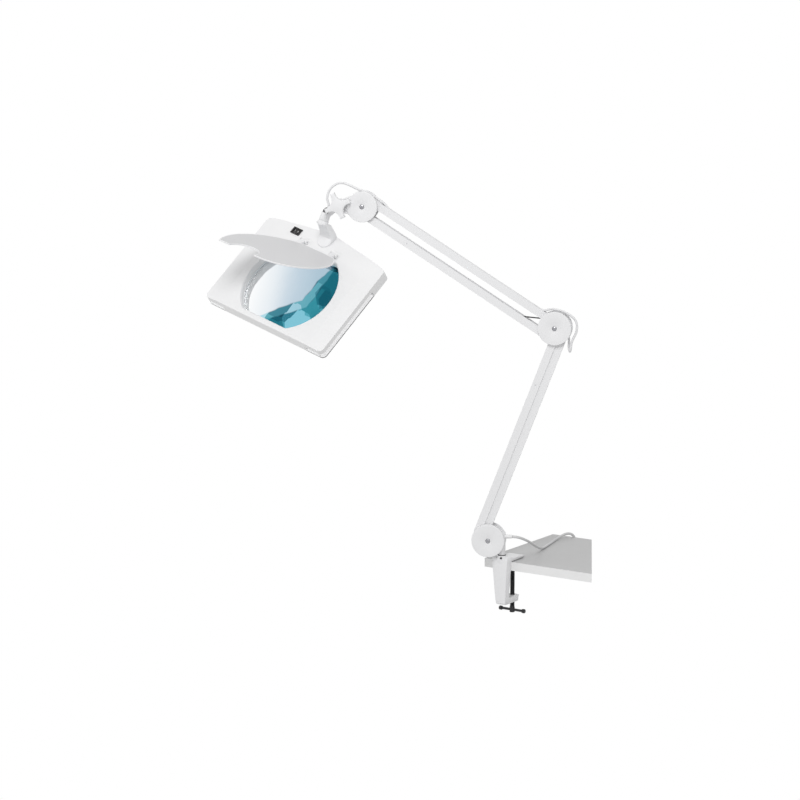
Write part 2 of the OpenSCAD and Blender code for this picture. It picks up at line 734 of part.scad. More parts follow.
// Rounded on the right and in front, pointed at its left tip, with a finger notch in the free edge
module lid_outline() difference() {
    intersection() {
        polygon(concat(arc([-lid_skew, 8], lid_right_r, -75, 52), arc([lid_skew, -30], lid_left_r, 108, 210)));
        translate([-lens_d, -lens_d]) square([2 * lens_d, lens_d + deck_y - 12]);
    }
    translate([-notch_x, -81]) circle(d = notch_d, $fn = 72);
}

lid_z = half_t + 0.6;
module lens_cover() color("white") lid_place() difference() {
    union() {
        translate([0, 0, lid_z]) linear_extrude(lid_t) lid_outline();
        for (side = [-1, 1]) translate([side * hinge_x - 6, 0, 0]) {
            translate([0, deck_y, lid_axis_z]) rotate([0, 90, 0]) cylinder(d = 7, h = 12);
            translate([0, deck_y - 26, lid_z]) cube([12, 26, lid_t]);
        }
    }
    for (side = [-1, 1]) translate([side * hinge_x - 10, deck_y, lid_axis_z]) rotate([0, 90, 0])
        cylinder(d = 3 + 2 * run, h = 20);
}

module cover_hinge_pins() color("silver") at_head() for (side = [-1, 1])
    translate([side * hinge_x - 9.5, deck_y, lid_axis_z]) rotate([0, 90, 0]) cylinder(d = 3, h = 19);

// ---------- Switch ----------
module switch_frame() color("dimgray") at_head() switch_place() difference() {
    union() {
        translate([-10.5, -7.5, 0]) cube([21, 15, 1.6]);
        translate([-switch_cut[0] / 2, -switch_cut[1] / 2, -11]) cube([switch_cut[0], switch_cut[1], 11]);
    }
    translate([-7.5, -5, -9]) cube([15, 10, 20]);
}

rocker_w = 10 - 2 * pass;
module power_rocker() color("black") at_head() switch_place() translate([0, 0, -3]) rotate([0, 8, 0])
    intersection() {
        rotate([90, 0, 0]) linear_extrude(rocker_w, center = true)
            polygon([[-6.4, -3], [6.4, -3], [6.4, 5], [0, 3.6], [-6.4, 5]]);
        rotate([90, 0, 0]) cylinder(r = 6.9, h = 20, center = true);
    }

// ---------- Lamps ----------
lamp_x = head_w / 2 - bay_w / 2;
lamp_z = -4.6;
tip_y = bay_back - tube_l - 3;
module each_bay() for (side = [0, 1]) mirror([side, 0, 0]) children();
module lamp_tubes(d, y, l) for (side = [-1, 1])
    translate([lamp_x + side * tube_gap / 2, y, lamp_z]) rotate([-90, 0, 0]) cylinder(d = d, h = l);

module lamps() color("white") at_head() each_bay() {
    lamp_tubes(tube_d, tip_y + tube_d / 2, tube_l - tube_d / 2);
    for (side = [-1, 1]) translate([lamp_x + side * tube_gap / 2, tip_y + tube_d / 2, lamp_z])
        sphere(d = tube_d);
    translate([lamp_x - tube_gap / 2, tip_y + tube_d * 0.8, lamp_z]) rotate([0, 90, 0])
        cylinder(d = 6, h = tube_gap);
}

base_y = tip_y + tube_l;
module lamp_bases() color("lightgray") at_head() each_bay()
    translate([lamp_x - 14, base_y, lamp_z - 6.6]) cube([28, lamp_base_l, 13.2]);

module lamp_holders() color("whitesmoke") at_head() each_bay() difference() {
    translate([lamp_x - 16, base_y + 8, wall - half_t]) cube([32, lamp_base_l - 6, 18]);
    translate([lamp_x - 14, base_y, lamp_z - 6.6]) cube([28, lamp_base_l, 13.2]);
}

clip_y = tip_y + 22;
module lamp_clips() color("silver") at_head() each_bay() difference() {
    translate([lamp_x - 15, clip_y, lamp_z - 2]) cube([30, 6, reflector_z - lamp_z + 2]);
    lamp_tubes(tube_d, clip_y - 1, 8);
    translate([lamp_x - 14.2 + 1.2, clip_y - 1, lamp_z - 3]) cube([26, 8, 6]);
}

reflector_z = 3;
module reflectors() color("silver") at_head() each_bay() difference() {
    translate([bay_in + 1, 2 - head_front + 4, reflector_z]) cube([bay_w - 7, head_front + bay_back - 7, 3]);
    translate([bay_in + 1.8, -head_front, reflector_z - eps]) cube([bay_w - 8.6, 3 * head_front, 2.2]);
    for (side = [-1, 1]) translate([lamp_x + side * tube_gap / 2, -head_front, lamp_z]) rotate([-90, 0, 0])
        cylinder(r = tube_d / 2 + pass, h = 3 * head_front);
}

module bay_covers() color("aliceblue") at_head() intersection() {
    translate([0, 0, -half_t]) linear_extrude(half_t + split_z) head_outline();
    each_bay() difference() {
        translate([bay_in + 0.2, -head_front - 1, -half_t])
            cube([bay_w + 2, head_front + 1 + bay_back - 0.2, half_t + split_z]);
        intersection() {
            translate([0, 0, bay_wall - half_t]) linear_extrude(half_t) head_outline(bay_wall);
            translate([bay_in - 1, -head_front, -half_t]) cube([bay_w + 4, 2 * head_front, head_t]);
        }
    }
}

module case_screws() color("silver") at_head() for (p = screw_places)
    translate([p[0], p[1], -half_t]) difference() {
        union() {
            translate([0, 0, screw_sink - 2]) cylinder(d = 6.6, h = 2);
            translate([0, 0, screw_sink - eps]) cylinder(d = 3, h = 10);
        }
        for (a = [0, 90]) rotate(a) translate([-2, -0.4, -1]) cube([4, 0.8, 2.4]);
    }

module ballast() color("dimgray") at_head() {
    translate([10, 98, wall - half_t]) cube([70, 16, 14]);
    translate([-52, 90, wall - half_t]) cube([62, 15, 1.6]);
}

module rating_plate() color("silver") at_head() translate([-84, 90, -half_t - 0.4]) cube([44, 20, 0.4]);

module neck() color("white") at_head() {
    difference() {
        union() {
            translate(neck_at) rotate([spigot_rise - 90, 0, 0]) {
                translate([0, 0, -collar_h / 2 - 8]) cylinder(d = spigot_d, h = collar_h + 12);
                translate([0, 0, -collar_h / 2 - 9]) cylinder(d = spigot_d + 8, h = 8.7);
            }
            intersection() {
                rotate([90, 0, 90]) linear_extrude(40, center = true) neck_section();
                rotate([90, 0, 0]) translate([0, 0, -200]) linear_extrude(400) polygon([
                    [-15.5, 10], [15.5, 10], [15.5, 17], [10, 50], [10, 60], [-10, 60], [-10, 50], [-15.5, 17]
                ]);
                union() {
                    translate([0, 113, 0]) cylinder(d = 31, h = 100);
                    translate([-15.5, 113, 0]) cube([31, 40, 100]);
                }
            }
        }
        translate(neck_at) rotate([spigot_rise - 90, 0, 0])
            translate([0, 0, -collar_h / 2 - 3]) cylinder(d = lead_d + 1, h = 2 * collar_h);
    }
}

module neck_section() polygon([
    [97, deck_z(97)], [128, deck_z(128)], [131, 22], [133, 44], [127, 57], [121, 60], [121, 48], [119, 26],
    [116, 20], [110, 18], [97, 16.5]
]);

module neck_grommet() color("dimgray") at_head() translate(neck_at) rotate([spigot_rise - 90, 0, 0])
    rotate_extrude() polygon([
        [0, grommet_z], [spigot_d / 2, grommet_z], [spigot_d / 2, collar_h / 2 + 0.3],
        [grommet_d / 2, collar_h / 2 + 0.3], [grommet_d / 2, grommet_z], [lead_d / 2 + 1.5, grommet_z + 5],
        [0, grommet_z + 5]
    ]);

// ---------- Leads ----------
// Smooth stretch through p1 and p2, n steps
function blend_4(p0, p1, p2, p3, t) = let (t2 = t * t, t3 = t2 * t)
    0.5 * (2 * p1 + (p2 - p0) * t + (2 * p0 - 5 * p1 + 4 * p2 - p3) * t2 + (3 * p1 - p0 - 3 * p2 + p3) * t3);
function smooth(p, n) = let (m = len(p) - 1) [
    for (i = [0 : m - 1], k = [0 : n - 1])
        blend_4(p[max(i - 1, 0)], p[i], p[i + 1], p[min(i + 2, m)], k / n),
    p[m]
];
function unit(v) = v / norm(v);
function tangent(p, i) = unit(p[min(i + 1, len(p) - 1)] - p[max(i - 1, 0)]);
// A tube of the given sides swept along points; up is never parallel to the path
module tube(p, d, sides, up) {
    m = len(p) - 1;
    pts = [for (i = [0 : m]) let (t = tangent(p, i), a = unit(cross(t, up)), b = cross(a, t))
        for (k = [0 : sides - 1]) p[i] + d / 2 * (a * cos(360 * k / sides) + b * sin(360 * k / sides))];
    body = [for (i = [0 : m - 1], k = [0 : sides - 1]) let (a = i * sides + k, b = i * sides + (k + 1) % sides)
        each [[a, b, b + sides], [a, b + sides, a + sides]]];
    caps = [for (k = [1 : sides - 2]) each [[0, k + 1, k], [m * sides, m * sides + k, m * sides + k + 1]]];
    polyhedron(pts, concat(body, caps));
}

function in_arm(p) = [p[0] * cos(arm_yaw) - p[1] * sin(arm_yaw),
    p[0] * sin(arm_yaw) + p[1] * cos(arm_yaw) - post_y, p[2]];

// Between the ends of the leads and what they meet
lead_gap = 0.3;
relief_end = in_arm([relief_x + relief_l + lead_gap, 0, relief_z]);
// Free lead, from the strain relief over the table's back edge, hand chosen
cord_route = [
    relief_end, relief_end + [7.3, 3.3, -0.5], [29, -17, 45], [31, -2, 38.5], [29.5, 15, 31], [26, 35, 22],
    [21, 56, 13.5], [15, 78, 6.5], [9, 100, 3], [3, 124, 2.5], [-3, 150, 2.5], [-8, 172, 3], [-8, 190, 5.6],
    [-4, 206, 8.4], [0, 216, 7], [2, 224, 1.5], [1.5, 228.4, -7], [-1.5, 229, -18], [-4.5, 229, -28]
];

coil_c = [-25, 229, -38];
coil_pitch = cord_d + coil_gap;
coil_in = coil_r - layer_turns * coil_pitch / 2;
coil_layers = 4;
coil_turns = coil_layers * layer_turns + 0.25;
coil_rings = 24;
function wave(t) = let (s = t % (2 * layer_turns)) s < layer_turns ? s : 2 * layer_turns - s;
function step_up(t) = let (s = min(max(t, 0), 1)) s * s * (3 - 2 * s);
// How far back the turns have stepped: once on entry, then at each turning of the spiral
function layer_of(t) = step_up(t * 2)
    + [for (k = [1 : coil_layers - 1]) step_up((t - k * layer_turns) * 2 + 0.5)]
        * [for (k = [1 : coil_layers - 1]) 1]
    + 3.2 * step_up((t - coil_turns + 0.75) / 0.75);
function coil_point(t) = coil_c + [
    (coil_in + coil_pitch * wave(t)) * cos(360 * t), coil_pitch * layer_of(t),
    -(coil_in + coil_pitch * wave(t)) * sin(360 * t)
];
coil_path = [for (i = [0 : coil_turns * coil_rings]) coil_point(i / coil_rings)];
coil_end = coil_path[len(coil_path) - 1];
coil_tail = concat([coil_path[0] + [0, 0, cord_d]], coil_path, [coil_end - [cord_d, 0, 0]]);
coil_least = min([for (i = [0 : len(coil_path) - 1], j = [i + coil_rings / 2 : len(coil_path) - 1])
    norm(coil_path[i] - coil_path[j])]) - cord_d;
echo(coil_self_gap = coil_least);
function path_length(p) = [for (i = [1 : len(p) - 1]) norm(p[i] - p[i - 1])] * [for (i = [1 : len(p) - 1]) 1];

module mains_cord() color("silver") tube(
    concat(smooth(cord_route, 2), [coil_path[0] + [0, 0, cord_d]]), cord_d, 10, [1, 0.3, 0.1]);
echo(cord_length = path_length(smooth(cord_route, 4)) + path_length(coil_path));
module cord_coil() color("silver") tube(coil_tail, cord_d, 6, [0, 1, 0]);

module plug() color("white") translate(coil_end - [cord_d, 0, 0]) rotate([0, -90, 0]) {
    cylinder(d1 = cord_d + 3, d2 = 10, h = 8);
    translate([-7, -7, 8]) cube([14, 14, plug_l - 20]);
    translate([-7, -13, plug_l - 12]) cube([14, 26, 12]);
    for (side = [-1, 1]) translate([0, side * 9.5, plug_l]) cylinder(d = 4, h = 19);
}

// Leads inside the bars and the loops of lead between them
function bar_point(c, a, p, z = 0) = let (q = c + turned(p, a)) in_arm([q[0], -z, q[1]]);
function plane_point(c, p, z = 0) = in_arm([c[0] + p[0], -z, c[1] + p[1]]);
rear_c = base_c + base_rear_pivot;
top_c = elbow_c + elbow_top_pivot;

lead_y = 2.2;
lower_cable_route = [
    in_arm([relief_x - 1 - lead_gap, 0, relief_z]), in_arm([relief_x - 7, 0, relief_z + 2]),
    bar_point(rear_c, lower_dir, [12, -8]), bar_point(rear_c, lower_dir, [22, -1]),
    bar_point(rear_c, lower_dir, [40, lead_y]), bar_point(rear_c, lower_dir, [70, lead_y]),
    bar_point(rear_c, lower_dir, [arm_l - 70, lead_y]), bar_point(rear_c, lower_dir, [arm_l - 44, lead_y]),
    bar_point(rear_c, lower_dir, [arm_l - 20, 4.6])
];
module lower_cable() color("white") tube(smooth(lower_cable_route, 3), lead_d, 8, [0.3, -1, 0.1]);

// Out of the lower bars, down in a narrow loop, up past the covers and into the top bar's slot
elbow_cable_route = [
    bar_point(rear_c, lower_dir, [arm_l - 18.7, 4.8]), bar_point(rear_c, lower_dir, [arm_l - 8, 6.6]),
    plane_point(elbow_c, [9, -10]), plane_point(elbow_c, [14, -5.5]), plane_point(elbow_c, [21, -9], -1),
    plane_point(elbow_c, [25, -18], -3), plane_point(elbow_c, [25, -28], -4),
    plane_point(elbow_c, [25, -38], -4), plane_point(elbow_c, [27.5, -43.5], 0),
    plane_point(elbow_c, [29.5, -37], 4), plane_point(elbow_c, [30.7, -27], 4),
    plane_point(elbow_c, [34.5, -17.6], 3), plane_point(elbow_c, [39.3, -7], 3),
    plane_point(elbow_c, [40.6, 5], 2), plane_point(elbow_c, [38, 13.5], 1),
    plane_point(elbow_c, [31, 21.3], 1), plane_point(elbow_c, [20, 28]), plane_point(elbow_c, [7, 32.5]),
    plane_point(elbow_c, [-8, 34.6]), bar_point(top_c, upper_dir, [20, -9]),
    bar_point(top_c, upper_dir, [32.6, -4.2])
];
module elbow_cable() color("white") tube(smooth(elbow_cable_route, 3), lead_d, 8, [0.3, -1, 0.1]);

upper_cable_route = [
    bar_point(top_c, upper_dir, [33, -4]), bar_point(top_c, upper_dir, [46, -1]),
    bar_point(top_c, upper_dir, [66, lead_y]), bar_point(top_c, upper_dir, [90, lead_y]),
    bar_point(top_c, upper_dir, [arm_l - 90, lead_y]), bar_point(top_c, upper_dir, [arm_l - 68, lead_y]),
    bar_point(top_c, upper_dir, [arm_l - 52, 0]), bar_point(top_c, upper_dir, [arm_l - 38, -4.5])
];
module upper_cable() color("white") tube(smooth(upper_cable_route, 3), lead_d, 8, [0.3, -1, 0.1]);

grommet_out = grommet_z + 5;
head_cable_route = [
    bar_point(top_c, upper_dir, [arm_l - 37.6, -4.7]), bar_point(top_c, upper_dir, [arm_l - 24, -9.6]),
    bar_point(top_c, upper_dir, [arm_l - 8, -10.4]), plane_point(head_c, [16, 21.5]),
    plane_point(head_c, [1, 28]), plane_point(head_c, [-11, 32]), plane_point(head_c, [-24, 38]), plane_point(head_c, [-36, 42.4]),
    plane_point(head_c, [-48, 41.6]), plane_point(head_c, [-59, 34.6]), plane_point(head_c, [-65.5, 25]),
    plane_point(head_c, [-68, 13]), plane_point(neck_c, (grommet_out + 6) * along(neck_a)),
    plane_point(neck_c, (grommet_out + 2 * lead_gap) * along(neck_a))
];
module head_cable() color("white") tube(smooth(head_cable_route, 3), lead_d, 8, [0.3, -1, 0.1]);

clamp_body();
jaw_pad();
post_bush();
post_set_screw();
pressure_pad();
clamp_screw();
screw_t_bar();
base_bracket();
base_covers();
base_cover_screws();
base_pivot_pins();
cord_strain_relief();
lower_front_bar();
lower_rear_bar();
lower_spring();
lower_spring_rod();
lower_spring_pin();
lower_cable();
elbow_bracket();
elbow_covers();
elbow_cover_screws();
elbow_pivot_pins();
elbow_cable();
upper_top_bar();
upper_bottom_bar();
upper_spring();
upper_spring_rod();
upper_spring_pin();
upper_cable();
head_knuckle();
knuckle_covers();
knuckle_cover_screws();
knuckle_pivot_pins();
head_cable();
star_knob();
clamp_bolt();
tilt_hub();
neck();
neck_grommet();
top_housing();
bottom_housing();
lens_ring();
lens_gasket();
lens();
lens_cover();
cover_hinge_pins();
switch_frame();
power_rocker();
lamps();
lamp_bases();
lamp_holders();
lamp_clips();
reflectors();
bay_covers();
case_screws();
ballast();
rating_plate();
mains_cord();
cord_coil();
plug();
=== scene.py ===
"""Looks of the bench magnifier lamp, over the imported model. Lengths are in millimetres up to mm()."""
import math

import bmesh
import bpy
from mathutils import Matrix, Vector


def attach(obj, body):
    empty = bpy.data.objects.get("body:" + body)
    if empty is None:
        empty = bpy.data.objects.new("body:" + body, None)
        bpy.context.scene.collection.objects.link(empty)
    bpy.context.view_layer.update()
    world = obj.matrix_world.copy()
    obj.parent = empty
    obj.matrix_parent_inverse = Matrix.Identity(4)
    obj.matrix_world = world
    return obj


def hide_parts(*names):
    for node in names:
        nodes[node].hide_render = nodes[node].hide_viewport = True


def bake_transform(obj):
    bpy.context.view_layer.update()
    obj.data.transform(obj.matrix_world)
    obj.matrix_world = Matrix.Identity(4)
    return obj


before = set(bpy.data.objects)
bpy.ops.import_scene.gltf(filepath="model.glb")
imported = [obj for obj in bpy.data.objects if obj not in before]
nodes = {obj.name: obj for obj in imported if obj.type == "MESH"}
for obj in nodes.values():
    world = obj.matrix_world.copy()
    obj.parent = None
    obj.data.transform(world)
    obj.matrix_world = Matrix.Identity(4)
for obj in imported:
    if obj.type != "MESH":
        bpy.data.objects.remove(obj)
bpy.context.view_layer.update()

# ---------- Geometry shared with the part's source ----------
ARM_YAW = math.radians(24)
POST_Y = 38.0
LOWER_DIR, UPPER_DIR = 69.1, 147.5
ARM_L = 400.0
BASE_C = Vector((-25.0, 42.0))
BASE_FRONT, ELBOW_FRONT = Vector((-20.2, 16.3)), Vector((1.3, -13.3))
ELBOW_TOP, HEAD_TOP = Vector((-7.7, 13.6)), Vector((14.2, 10.4))
LOWER_GAP, UPPER_GAP = 14.0, 28.0
LEAD_D, CORD_D = 4.4, 5.0


def along(degrees):
    """The unit vector at this angle, anticlockwise from the right."""
    a = math.radians(degrees)
    return Vector((math.cos(a), math.sin(a)))


ELBOW_C = BASE_C + BASE_FRONT + ARM_L * along(LOWER_DIR) - ELBOW_FRONT
HEAD_C = ELBOW_C + ELBOW_TOP + ARM_L * along(UPPER_DIR) - HEAD_TOP
HUB_C = HEAD_C + Vector((-44, 2))
NECK_C = HUB_C + Vector((-28, -22))
REAR_C = BASE_C + BASE_FRONT + LOWER_GAP * along(LOWER_DIR - 90)
FRONT_C = BASE_C + BASE_FRONT
TOP_C = ELBOW_C + ELBOW_TOP
BOTTOM_C = ELBOW_C + ELBOW_TOP + UPPER_GAP * along(UPPER_DIR + 90)


def mm(p):
    """Millimetres to the frame's metres."""
    return Vector(p) * 0.001


def in_arm(x, y, z):
    """A point of the arm's plane, x right, y towards the back, z up, in the row frame."""
    c, s = math.cos(ARM_YAW), math.sin(ARM_YAW)
    return Vector((x * c - y * s, x * s + y * c - POST_Y, z))


def plane_point(centre, p, out=0.0):
    """p = (right, up) from a bracket's middle, out towards the viewer."""
    return in_arm(centre[0] + p[0], -out, centre[1] + p[1])


def bar_point(pivot, direction, p, out=0.0):
    """p = (along, across) from a bar's first pivot."""
    u = along(direction)
    q = pivot + u * p[0] + Vector((-u[1], u[0])) * p[1]
    return in_arm(q[0], -out, q[1])


# Head frame: origin in the lens's middle, x right, y back, z up
HEAD_TURN = (
    Matrix.Rotation(ARM_YAW, 3, "Z") @ Matrix.Rotation(math.radians(18), 3, "Y")
    @ Matrix.Rotation(math.radians(-27.3), 3, "Z") @ Matrix.Rotation(math.radians(55), 3, "X")
)
HEAD_AT = in_arm(NECK_C[0], 0, NECK_C[1]) - HEAD_TURN @ Vector((0, 137, 61))
HEAD = Matrix.Translation(mm(HEAD_AT)) @ HEAD_TURN.to_4x4()

# ---------- Camera ----------
AIM = mm((-203.8, -77.5, 293.9))
AZIMUTH, ELEVATION, DISTANCE = 34.0, 9.6, 5.03


def look_direction():
    a, e = math.radians(AZIMUTH), math.radians(ELEVATION)
    return Vector((-math.sin(a) * math.cos(e), math.cos(a) * math.cos(e), -math.sin(e)))


camera = bpy.data.objects.new("camera", bpy.data.cameras.new("camera"))
bpy.context.scene.collection.objects.link(camera)
camera.data.lens = 120
camera.data.sensor_width = 36
camera.data.clip_end = 60
camera.location = AIM - DISTANCE * look_direction()
camera.rotation_euler = look_direction().to_track_quat("-Z", "Y").to_euler()
bpy.context.scene.camera = camera
bpy.context.scene.view_settings.view_transform = "Standard"


# ---------- Mesh helpers ----------
def make_object(name, bm, material, smooth=True):
    mesh = bpy.data.meshes.new(name)
    bm.normal_update()
    bm.to_mesh(mesh)
    bm.free()
    obj = bpy.data.objects.new(name, mesh)
    bpy.context.scene.collection.objects.link(obj)
    mesh.materials.append(material)
    for polygon in mesh.polygons:
        polygon.use_smooth = smooth
    return obj


def add_modifier(obj, name, kind, **settings):
    modifier = obj.modifiers.new(name, kind)
    for key, value in settings.items():
        setattr(modifier, key, value)


def soften(obj, width, angle=35, crease=None):
    """Rounds the edges that are sharper than angle, and splits the shading at crease, if one is given."""
    add_modifier(obj, "weld", "WELD", merge_threshold=1e-6)
    add_modifier(obj, "bevel", "BEVEL", width=width * 0.001, segments=2, limit_method="ANGLE",
                 angle_limit=math.radians(angle), harden_normals=crease is None, use_clamp_overlap=True)
    if crease:
        add_modifier(obj, "creases", "EDGE_SPLIT", split_angle=math.radians(crease))
    for polygon in obj.data.polygons:
        polygon.use_smooth = True


def smooth_path(points, steps):
    """A curve through the points, as the part's source draws it."""
    out = []
    last = len(points) - 1
    for i in range(last):
        p0, p1 = points[max(i - 1, 0)], points[i]
        p2, p3 = points[i + 1], points[min(i + 2, last)]
        for k in range(steps):
            t = k / steps
            out.append(0.5 * (2 * p1 + (p2 - p0) * t + (2 * p0 - 5 * p1 + 4 * p2 - p3) * t * t
                              + (3 * p1 - p0 - 3 * p2 + p3) * t ** 3))
    out.append(points[last].copy())
    return out


def circle_angles(sides):
    return [2 * math.pi * k / sides for k in range(sides)]


def bridge(bm, first, second):
    """Quads between two rings of the same number of points."""
    count = len(first)
    for k in range(count):
        n = (k + 1) % count
        bm.faces.new((first[k], first[n], second[n], second[k]))


def skin(bm, rings):
    """A closed shell over rings of points, with both ends capped."""
    for first, second in zip(rings, rings[1:]):
        bridge(bm, first, second)
    bm.faces.new(list(reversed(rings[0])))
    bm.faces.new(rings[-1])


def sweep(bm, points, radius, sides):
    """Adds a closed round tube along points."""
    last = len(points) - 1
    tangents = [(points[min(i + 1, last)] - points[max(i - 1, 0)]).normalized() for i in range(last + 1)]
    normal = tangents[0].orthogonal().normalized()
    rings = []
    for point, tangent in zip(points, tangents):
        normal = (normal - tangent * normal.dot(tangent)).normalized()
        side = tangent.cross(normal)
        rings.append([
            bm.verts.new(mm(point + radius * (normal * math.cos(a) + side * math.sin(a))))
            for a in circle_angles(sides)
        ])
    skin(bm, rings)


def whole_face(bm, corners):
    """A face of the corners without repeats, so that a ring of one point gives triangles."""
    corners = [v for i, v in enumerate(corners) if v not in corners[:i]]
    if len(corners) > 2:
        bm.faces.new(corners)


def lathe(bm, profile, matrix, sides):
    """Turns a profile of (radius, height) about the matrix's z axis. Radius 0 closes an end."""
    rings = []
    for radius, height in profile:
        if radius < 1e-6:
            rings.append([bm.verts.new(matrix @ mm((0, 0, height)))])
        else:
            rings.append([
                bm.verts.new(matrix @ mm((radius * math.cos(a), radius * math.sin(a), height)))
                for a in circle_angles(sides)
            ])
    for first, second in zip(rings, rings[1:]):
        for k in range(sides):
            n = k + 1
            whole_face(bm, [first[k % len(first)], first[n % len(first)],
                            second[n % len(second)], second[k % len(second)]])


def rounded_box_ring(bm, matrix, half_x, half_y, corner, height):
    """A ring of points on a rectangle with round corners, five points to a corner."""
    ring = []
    in_x, in_y = half_x - corner, half_y - corner
    for quadrant, (sx, sy) in enumerate(((1, 1), (-1, 1), (-1, -1), (1, -1))):
        for i in range(5):
            a = math.pi / 2 * (quadrant + i / 4)
            place = (sx * in_x + corner * math.cos(a), sy * in_y + corner * math.sin(a), height)
            ring.append(bm.verts.new(matrix @ mm(place)))
    return ring


# ---------- Materials ----------
def node_of(tree, kind, **settings):
    node = tree.nodes.new(kind)
    for key, value in settings.items():
        setattr(node, key, value)
    return node


def shader(name, color, roughness=0.4, metallic=0.0, speckle=0.02, grain=900.0, bump=0.04, mottle=3.0,
           rough_spread=0.06, **sockets):
    """A finish with slight colour variation at two scales, uneven roughness and a fine surface grain."""
    material = bpy.data.materials.new(name)
    material.use_nodes = True
    tree = material.node_tree
    surface = tree.nodes["Principled BSDF"]
    surface.inputs["Metallic"].default_value = metallic
    for key, value in sockets.items():
        surface.inputs[key.replace("_", " ")].default_value = value
    place = node_of(tree, "ShaderNodeTexCoord")
    wide = node_of(tree, "ShaderNodeTexNoise")
    wide.inputs["Scale"].default_value = mottle
    wide.inputs["Detail"].default_value = 4
    fine = node_of(tree, "ShaderNodeTexNoise")
    fine.inputs["Scale"].default_value = grain
    fine.inputs["Detail"].default_value = 2
    for noise in (wide, fine):
        tree.links.new(place.outputs["Object"], noise.inputs["Vector"])
    ramp = node_of(tree, "ShaderNodeValToRGB")
    low = [max(0.0, c - speckle) for c in color[:3]] + [1]
    high = [min(1.0, c + speckle) for c in color[:3]] + [1]
    ramp.color_ramp.elements[0].position, ramp.color_ramp.elements[0].color = 0.3, low
    ramp.color_ramp.elements[1].position, ramp.color_ramp.elements[1].color = 0.7, high
    tree.links.new(wide.outputs["Fac"], ramp.inputs["Fac"])
    tree.links.new(ramp.outputs["Color"], surface.inputs["Base Color"])
    spread = node_of(tree, "ShaderNodeMapRange")
    spread.inputs["To Min"].default_value = max(0.02, roughness - rough_spread)
    spread.inputs["To Max"].default_value = min(1.0, roughness + rough_spread)
    tree.links.new(wide.outputs["Fac"], spread.inputs["Value"])
    tree.links.new(spread.outputs["Result"], surface.inputs["Roughness"])
    if bump:
        relief = node_of(tree, "ShaderNodeBump")
        relief.inputs["Strength"].default_value = bump
        relief.inputs["Distance"].default_value = 0.0002
        tree.links.new(fine.outputs["Fac"], relief.inputs["Height"])
        tree.links.new(relief.outputs["Normal"], surface.inputs["Normal"])
    return material


powder = shader("powder_white", (0.86, 0.86, 0.87), 0.38, speckle=0.008, grain=2200, bump=0.16)
cast = shader("cast_white", (0.85, 0.85, 0.86), 0.34, speckle=0.01, grain=900, bump=0.22)
shell = shader("shell_white", (0.87, 0.87, 0.875), 0.33, speckle=0.006, grain=1500, bump=0.05)
disc_white = shader("disc_white", (0.86, 0.86, 0.87), 0.36, speckle=0.006, grain=1500, bump=0.05)
lid_grey = shader("lid_frosted", (0.69, 0.69, 0.70), 0.42, speckle=0.006, grain=1800, bump=0.08)
# A slightly lighter copy of the housing white: painted light that lifts the shade on the lens ring, lamp
# bases and lamp holders inside the head.
painted_light_inner_white = shader("painted_light_inner_white", (0.90, 0.90, 0.905), 0.4, speckle=0.01, grain=1200, bump=0.05)
black_plastic = shader("black_plastic", (0.012, 0.012, 0.013), 0.3, speckle=0.003, grain=1500, bump=0.08)
black_steel = shader("black_steel", (0.03, 0.03, 0.032), 0.34, metallic=0.6,
                     speckle=0.01, grain=700, bump=0.1)
zinc = shader("zinc", (0.62, 0.62, 0.64), 0.3, metallic=1.0, speckle=0.05, mottle=60, grain=900, bump=0.08)
chrome = shader("chrome", (0.36, 0.36, 0.38), 0.16, metallic=1.0, speckle=0.02,
                mottle=20, grain=600, bump=0.02)
mirror = shader("reflector_metal", (0.82, 0.83, 0.84), 0.16, metallic=1.0, speckle=0.02, grain=300, bump=0.05)
rubber = shader("rubber", (0.06, 0.06, 0.062), 0.72, speckle=0.012, grain=1800, bump=0.25)
pale_rubber = shader("pale_rubber", (0.84, 0.845, 0.85), 0.6, speckle=0.01, grain=1500, bump=0.12)
mark_white = shader("mark_white", (0.62, 0.62, 0.62), 0.5, speckle=0.01, grain=900, bump=0.03)
lead_white = shader("lead_white", (0.82, 0.82, 0.83), 0.42, speckle=0.008, grain=1400, bump=0.08)
cord_grey = shader("cord_grey", (0.66, 0.66, 0.665), 0.45, speckle=0.012, grain=1400, bump=0.1)
phosphor = shader("phosphor", (0.93, 0.93, 0.92), 0.25, speckle=0.008, grain=800, bump=0.02)
board = shader("board", (0.16, 0.26, 0.19), 0.5, speckle=0.03, mottle=120, grain=900, bump=0.1)
plate = shader("plate_metal", (0.70, 0.71, 0.72), 0.35, metallic=0.8, speckle=0.02, mottle=40,
               grain=1200, bump=0.1)
clear = shader("clear_plastic", (0.95, 0.95, 0.955), 0.06, speckle=0.004, grain=300, bump=0.01,
               rough_spread=0.02, Transmission_Weight=0.95, IOR=1.46)


def ramp_between(tree, value, stops):
    """stops = (position, colour) pairs."""
    ramp = node_of(tree, "ShaderNodeValToRGB")
    while len(ramp.color_ramp.elements) < len(stops):
        ramp.color_ramp.elements.new(0.5)
    for element, (position, color) in zip(ramp.color_ramp.elements, stops):
        element.position, element.color = position, (*color, 1)
    tree.links.new(value, ramp.inputs["Fac"])
    return ramp.outputs["Color"]


def arithmetic(tree, operation, first, second):
    node = node_of(tree, "ShaderNodeMath", operation=operation)
    for socket, value in zip(node.inputs, (first, second)):
        if isinstance(value, (int, float)):
            socket.default_value = value
        else:
            tree.links.new(value, socket)
    return node.outputs[0]


